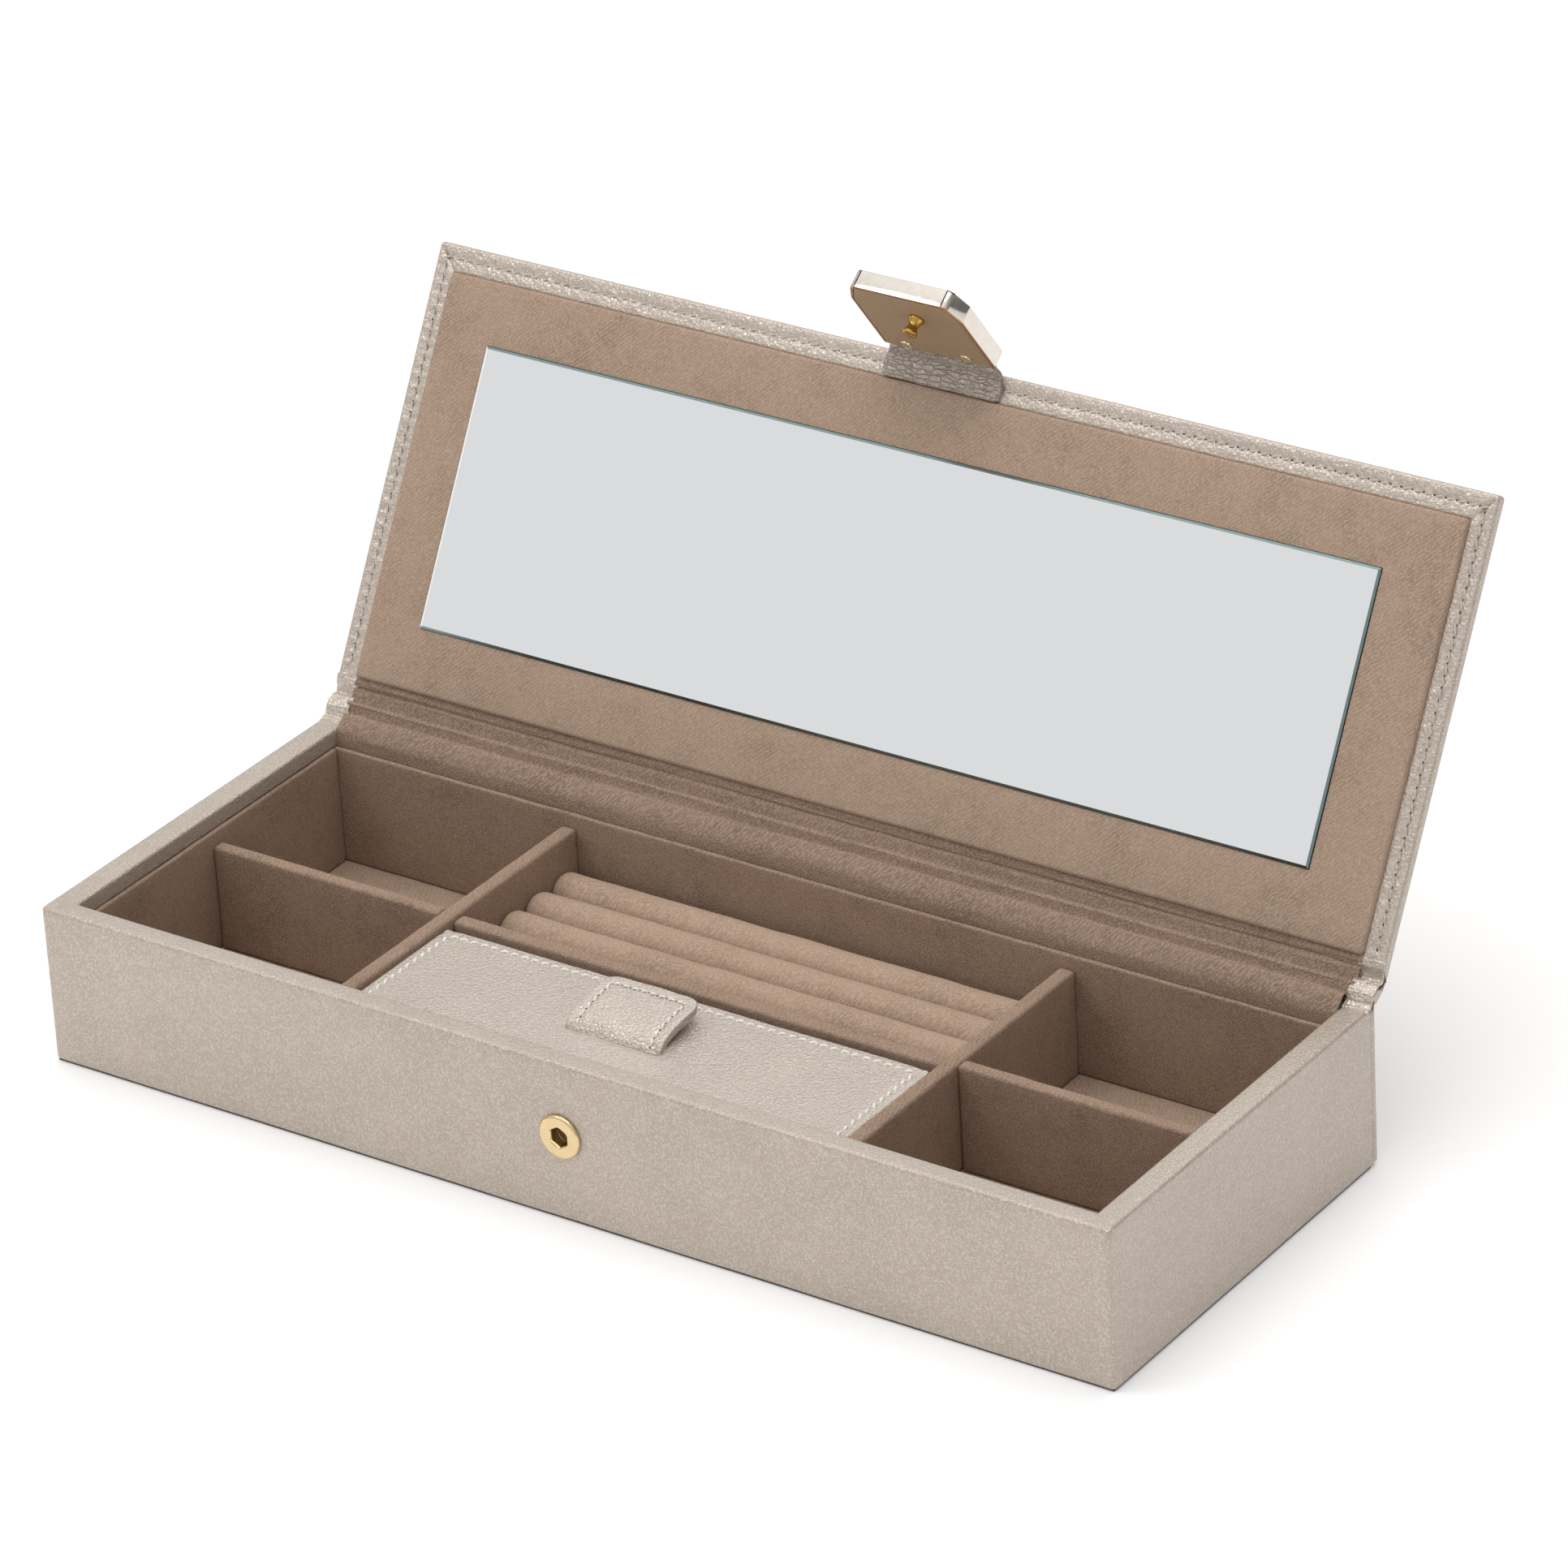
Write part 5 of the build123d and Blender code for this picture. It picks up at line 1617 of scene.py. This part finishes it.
    def panel(self) -> None:
        """Raised suede panel with soft edges and the pocket for the mirror."""
        glass_low, glass_high = self.leaf.box("mirror_glass")
        back_low, _ = self.leaf.box("mirror_backing")
        play = 0.15 * MM
        low, high = self.panel_low.copy(), self.panel_high.copy()
        low.z = self.face - 0.35 * MM
        pocket = (glass_low.x - play, glass_high.x + play, glass_low.y - play, glass_high.y + play)

        def dent(x: float, y: float) -> float:
            gaps = (pocket[0] - x, x - pocket[1], pocket[2] - y, y - pocket[3])
            away = max(gaps)
            tuck = -0.3 * MM * math.exp(-(away / (1.0 * MM)) ** 2) if away >= -1e-6 else 0.0
            return tuck + 0.13 * MM * noise.noise(Vector((x, y, 7)) / (26 * MM))
        pad = Pillow(low, high, 1.0 * MM, 4.5 * MM, corner=1.4 * MM, pocket=pocket,
                     pocket_floor=back_low.z, dent=dent, place=self.leaf.at)
        points, faces = pad.build()
        made = make_piece("lid_panel", points, faces, (PANEL_SUEDE,), sharp=60.0)
        settle(made, Body.LID, "lid_lining_panel")

    def mirror(self) -> None:
        """Silvered glass with a fine ground bevel, on its backing board."""
        low, high = self.leaf.box("mirror_glass")
        bevel, slope = 0.65 * MM, 0.35 * MM
        rows = []
        for inset, o in ((0.0, low.z), (0.0, high.z - slope), (bevel, high.z)):
            rows.append([self.leaf.at(x, s, o) for x, s in
                         ((low.x + inset, low.y + inset), (high.x - inset, low.y + inset),
                          (high.x - inset, high.y - inset), (low.x + inset, high.y - inset))])
        points, faces = skin(rows)
        # the left bevel is white where the ground edge shows through the glass and in its reflection: real
        # edge colour, partly painted reflection
        marks = [1] * 7 + [2, 0, 0]
        made = make_piece("mirror_pane", points, faces, (MIRROR, MIRROR_EDGE, FROST_EDGE_PAINTED_REFLECTION), marks, sharp=5.0)
        settle(made, Body.LID, "mirror_glass")
        dress("mirror_backing", GREY_BOARD)


# ---- clasp --------------------------------------------------------------------------------
@dataclass
class Clasp:
    """Metal-shelled clasp with its leather back, stud, rivets and strap."""
    wall: float = 0.8 * MM
    round_off: float = 0.5 * MM
    near_cut: float = 6.8 * MM
    side_cut: float = 2.6 * MM
    corners: int = 6
    corner_spans: int = 6
    rivet_spans: int = 48
    rivet_petals: int = 6
    strap_thick: float = 1.25 * MM
    strap_columns: int = 28

    def build(self) -> None:
        """Make the shell, backing, stud, rivets and strap."""
        self.leaf = LEAVES[Body.CLASP]
        self.low, self.high = self.leaf.box("clasp_shell")
        self.back_low, self.back_high = self.leaf.box("clasp_backing")
        self.shell()
        self.backing()
        self.stud()
        for number, x in ((1, "clasp_rivet_1"), (2, "clasp_rivet_2")):
            self.rivet(x, number)
        self.strap()
        dress("clasp_filler", GREY_BOARD)

    def outline(self, inset: float, near: float = 0.0, corner: float = 2.1 * MM) -> list[Pair]:
        """Clasp outline in (x, along), drawn in by inset."""
        left, right = self.low.x + inset, self.high.x - inset
        far = self.high.y - inset
        slant = math.hypot(self.side_cut, self.near_cut)
        slope = inset * (slant - self.near_cut) / self.side_cut
        cut, side = self.near_cut, self.side_cut
        r = max(0.25 * MM, corner - inset)
        spots = [(left, self.low.y + near, 0.7 * MM), (left, far + inset - cut - slope, r),
                 (left + side - slope * 0.2, far, r), (right - side + slope * 0.2, far, r),
                 (right, far + inset - cut - slope, r), (right, self.low.y + near, 0.7 * MM)]
        return rounded_outline(spots, self.corner_spans)

    def shell(self) -> None:
        """Pressed tray with rounded shoulders and a polished lip."""
        top, lip = self.low.z, self.high.z
        w, r = self.wall, self.round_off
        rows = []
        plan = [(r * 0.95, top), (r * 0.45, top + r * 0.12), (r * 0.12, top + r * 0.45), (0.0, top + r)]
        plan += [(0.0, lip - 0.35 * MM), (0.1 * MM, lip - 0.1 * MM), (0.35 * MM, lip), (w - 0.15 * MM, lip)]
        plan += [(w, lip - 0.15 * MM), (w, lip - 3.1 * MM)]
        for inset, o in plan:
            rows.append([self.leaf.at(x, s, o) for x, s in self.outline(inset, inset)])
        points, faces = skin(rows)
        width = len(rows[0])
        marks = [1 if width * 4 <= i < width * 8 else 0 for i in range(len(faces))]
        step = len(rows[0]) // self.corners
        # corner faces in near-black metal: seam lines at the ends of the corner arcs, and a painted dark
        # reflection along the corner shoulders
        for corner, seams in ((2, (0, step - 2)), (3, (0,))):
            for row in range(4):
                shadowed = range(step - 1) if 1 <= row < 3 else seams
                for column in shadowed:
                    marks[row * width + corner * step + column] = 2
        made = make_piece("clasp_case", points, faces, (CHAMPAGNE, ROSE_EDGE, CORNER_SEAM_AND_REFLECTION), marks, sharp=30.0)
        settle(made, Body.CLASP, "clasp_shell")

    def backing(self) -> None:
        """Brown leather set into the tray."""
        floor, face = self.back_low.z, self.back_high.z
        inset = self.wall + 0.03 * MM
        rows = []
        for extra, o in ((0.0, floor), (0.0, face - 0.3 * MM), (0.1 * MM, face - 0.12 * MM),
                         (0.35 * MM, face - 0.02 * MM), (1.2 * MM, face), (4.0 * MM, face + 0.02 * MM)):
            near = 0.05 * MM + extra
            rows.append([self.leaf.at(x, s, o) for x, s in self.outline(inset + extra, near)])
        points, faces = skin(rows)
        made = make_piece("clasp_back_leather", points, faces, (BACKING_LEATHER,))
        settle(made, Body.CLASP, "clasp_backing")

    def stud(self) -> None:
        """Waisted stud that snaps into the socket."""
        low, high = self.leaf.box("clasp_stud")
        foot = self.leaf.at((low.x + high.x) / 2, (low.y + high.y) / 2, 0)
        out = (self.leaf.at(0, 0, 1) - self.leaf.at(0, 0, 0)).normalized()
        shank = [(1.0, -1.3), (1.35, -1.2), (1.35, 0.02)]
        collar = [(2.05, 0.02), (2.1, 0.2), (2.1, 0.55), (1.95, 0.8)]
        waist = [(1.6, 1.3), (1.42, 1.9), (1.35, 2.5), (1.42, 2.9), (1.6, 3.4)]
        head = [(1.85, 3.8), (2.0, 4.05), (2.0, 4.35), (1.85, 4.65), (1.5, 4.85), (0.8, 4.9), (0.3, 4.88)]
        points, faces = lathe([(r * MM, h * MM) for r, h in shank + collar + waist + head], foot, out)
        settle(make_piece("clasp_stud_turned", points, faces, (AMBER,), sharp=34.0), Body.CLASP, "clasp_stud")

    def rivet(self, node: str, number: int) -> None:
        """Small rolled rivet, split into a star by its setting."""
        low, high = self.leaf.box(node)
        middle = self.leaf.at((low.x + high.x) / 2, (low.y + high.y) / 2, 0)
        out = (self.leaf.at(0, 0, 1) - self.leaf.at(0, 0, 0)).normalized()
        turn = Vector((0, 0, 1)).rotation_difference(out)
        rows = []
        shank = ((0.7, -1.0, 0), (0.75, 0.0, 0))
        petals = ((1.5, 0.02, 0.25), (1.6, 0.14, 0.3), (1.4, 0.36, 0.25), (1.05, 0.45, 0.12))
        dimple = ((0.7, 0.36, 0.0), (0.4, 0.2, 0.0), (0.15, 0.14, 0.0))
        for r, h, notch in shank + petals + dimple:
            ring = []
            for i in range(self.rivet_spans):
                a = math.tau * i / self.rivet_spans
                reach = r * (1 - notch * (0.5 + 0.5 * math.cos(self.rivet_petals * a + number)) ** 3)
                ring.append(middle + turn @ (Vector((reach * math.cos(a), reach * math.sin(a), h)) * MM))
            rows.append(ring)
        points, faces = skin(rows)
        made = make_piece(f"clasp_rivet_set_{number}", points, faces, (PALE_BRASS,), sharp=30.0)
        settle(made, Body.CLASP, node)

    def strap(self) -> None:
        """Creased leather strap from the lid border into the clasp."""
        lid = LEAVES[Body.LID]
        root_low, root_high = lid.box("clasp_strap_root")
        end_low, end_high = self.leaf.box("clasp_strap_end")
        mid_a, mid_b = (root_low.x + root_high.x) / 2, (end_low.x + end_high.x) / 2
        half_a, half_b = (root_high.x - root_low.x) / 2, (end_high.x - end_low.x) / 2
        fold = lid.back(self.leaf.at(0, 0, 0))
        top = [(root_low.y + 0.1 * MM, root_low.z + 0.25 * MM)]
        top += [(root_low.y + s * MM, root_high.z - fall * MM) for s, fall in ((0.7, 0.6), (4.0, 0.35))]
        top += [(root_high.y - 2.4 * MM, root_high.z - 0.3 * MM), (fold.y - 0.75 * MM, fold.z - 0.8 * MM)]
        tail = [self.leaf.at(0, s, -1.5 * MM) for s in (1.2 * MM, 3.5 * MM, 6.0 * MM)]
        top += [(lid.back(p).y, lid.back(p).z) for p in tail]
        line = smooth_line(top, 6)
        rows = []
        for k in range(self.strap_columns + 1):
            u = -1 + 2 * k / self.strap_columns
            upper, under = [], []
            for i, (s, o) in enumerate(line):
                share = min(1.0, max(0.0, i / (len(line) - 1) * 2 - 0.6))
                half = half_a + (half_b - half_a) * share
                x = mid_a + (mid_b - mid_a) * share + u * half
                fall = 0.45 * MM * max(0.0, abs(u) * 14 - 13) ** 2
                crease = noise.noise(Vector((x / (5 * MM), s / (1.1 * MM), o / (1.1 * MM))))
                lift = 0.22 * MM * crease * (1 if 0 < i < 20 else 0.3) - fall
                a, b = line[max(0, i - 1)], line[min(len(line) - 1, i + 1)]
                run = Vector((b[0] - a[0], b[1] - a[1])).normalized()
                n = (-run.y, run.x)
                below = lift - self.strap_thick
                upper.append(lid.at(x, s + n[0] * lift, o + n[1] * lift))
                under.append(lid.at(x, s + n[0] * below, o + n[1] * below))
            rows.append(upper + list(reversed(under)))
        points, faces = skin(rows)
        made = make_piece("clasp_strap", points, faces, (STRAP_LEATHER,))
        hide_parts("clasp_strap_root", "clasp_strap_end")
        start = lid.at(0, root_high.y - 2.0 * MM, root_high.z - 0.9 * MM)
        end = self.leaf.at(0, 1.0 * MM, -1.2 * MM)
        cross(made, (Body.LID, Body.CLASP))


# ---- studio -------------------------------------------------------------------------------
@dataclass
class Studio:
    """Pale floor, soft light and the camera."""
    azimuth: float = 35.84
    elevation: float = 27.99
    roll: float = 3.28
    distance: float = 2.03187
    lens: float = 187.08
    aim: tuple[float, float, float] = (-0.0022436, 0.0447898, 0.0707880)
    sensor: float = 36.0
    clip: Pair = (0.1, 50.0)
    floor_reach: float = 6.0
    world: float = 0.8
    gap: tuple[float, float, float] = (0.86, 0.42, 0.28)
    gap_reach: Pair = (0.35, 0.97)
    gap_light: float = 0.4
    lamps: tuple[tuple, ...] = (("lamp_top", (0.12, 0.1, 1.6), 1.4, 8.6),
                                ("lamp_edge", (-0.80, -0.69, 1.22), 0.4, 2.2))
    layers: tuple[tuple[float, float, float], ...] = ((0.26, 0.05, 0.6), (0.52, 0.95, 1.6))

    def build(self) -> None:
        """Make the camera, the floor and the lights."""
        self.camera()
        self.floor()
        self.lights()
        scene = bpy.context.scene
        scene.view_settings.view_transform = "Standard"
        scene.view_settings.look = "None"

    def camera(self) -> None:
        """Camera on its stand."""
        az, el = math.radians(self.azimuth), math.radians(self.elevation)
        aim = Vector(self.aim)
        out = Vector((math.sin(az) * math.cos(el), -math.cos(az) * math.cos(el), math.sin(el)))
        data = bpy.data.cameras.new("studio_camera")
        data.lens = self.lens
        data.sensor_width = self.sensor
        data.clip_start, data.clip_end = self.clip
        made = bpy.data.objects.new("studio_camera", data)
        turn = out.to_track_quat("Z", "Y").to_matrix() @ Matrix.Rotation(-math.radians(self.roll), 3, "Z")
        made.matrix_world = Matrix.Translation(aim + out * self.distance) @ turn.to_4x4()
        bpy.context.scene.collection.objects.link(made)
        bpy.context.scene.camera = made
        LOG.info("camera at %s", tuple(round(v, 4) for v in made.location))

    def floor(self) -> None:
        """Wide pale floor."""
        r = self.floor_reach
        points = [(-r, -r, 0), (r, -r, 0), (r, r, 0), (-r, r, 0)]
        finish = FloorFinish("pale_floor", None, (0.93, 0.93, 0.93))
        made = make_piece("studio_floor", points, [(0, 1, 2, 3)], (finish,))

    def lights(self) -> None:
        """Surround that is brighter overhead and dimmer low down and towards one side, with a broad lamp
        above and a smaller one in front to the left.
        """
        world = bpy.data.worlds.new("studio_surround")
        bpy.context.scene.world = world
        world.use_nodes = True
        graph = Graph(world.node_tree)
        aim = graph.add("VectorMath", {0: graph.add("TexCoord").outputs["Generated"], 1: self.gap},
                        operation="DOT_PRODUCT").outputs["Value"]
        share = graph.remap(aim, *self.gap_reach, 1.0, self.gap_light)
        height = graph.add("SeparateXYZ", {0: graph.add("TexCoord").outputs["Generated"]}).outputs["Z"]
        for low, high, gain in self.layers:
            share = graph.math("MULTIPLY", share, graph.remap(height, low, high, 1.0, gain))
        back = graph.add("Background", {"Color": rgba((1.0, 1.0, 1.0)),
                                        "Strength": graph.math("MULTIPLY", share, self.world)})
        graph.add("OutputWorld", {"Surface": back.outputs[0]})
        for name, spot, size, power in self.lamps:
            data = bpy.data.lights.new(name, "AREA")
            data.shape = "DISK"
            data.size = size
            data.energy = power
            made = bpy.data.objects.new(name, data)
            made.location = spot
            made.rotation_euler = (Vector(self.aim) - Vector(spot)).to_track_quat("-Z", "Y").to_euler()
            bpy.context.scene.collection.objects.link(made)


@dataclass(frozen=True)
class FloorFinish(Finish):
    """Matt paper sweep."""
    rough: float = 0.9
    gloss: float = 0.2
    glow: float = 0.07

    def wire(self, graph: Graph, shader: bpy.types.Node) -> None:
        """Near-white paper with the faintest mottling."""
        cloud = graph.noise(graph.place(), 3.0)
        near = [c * 0.99 for c in self.colour]
        graph.feed(shader.inputs["Base Color"], graph.blend(cloud, rgba(near), rgba(self.colour)))
        shader.inputs["Roughness"].default_value = self.rough
        shader.inputs["Specular IOR Level"].default_value = self.gloss
        shader.inputs["Emission Color"].default_value = rgba((1.0, 1.0, 1.0))
        shader.inputs["Emission Strength"].default_value = self.glow


def main() -> None:
    """Build the jewellery box round its frame."""
    logging.basicConfig(level=logging.INFO, format="%(name)s: %(message)s")
    noise.seed_set(SEED)  # the vector noise follows the clock until it is seeded
    for part in (Studio(), BodyShell(), Interior(), RingRolls(), SnapSocket(), InnerLid(), PullTab(), Spine(),
                 LidLeaf(), Clasp()):
        part.build()
        LOG.info("%s built", type(part).__name__)


if __name__ == "__main__":
    main()
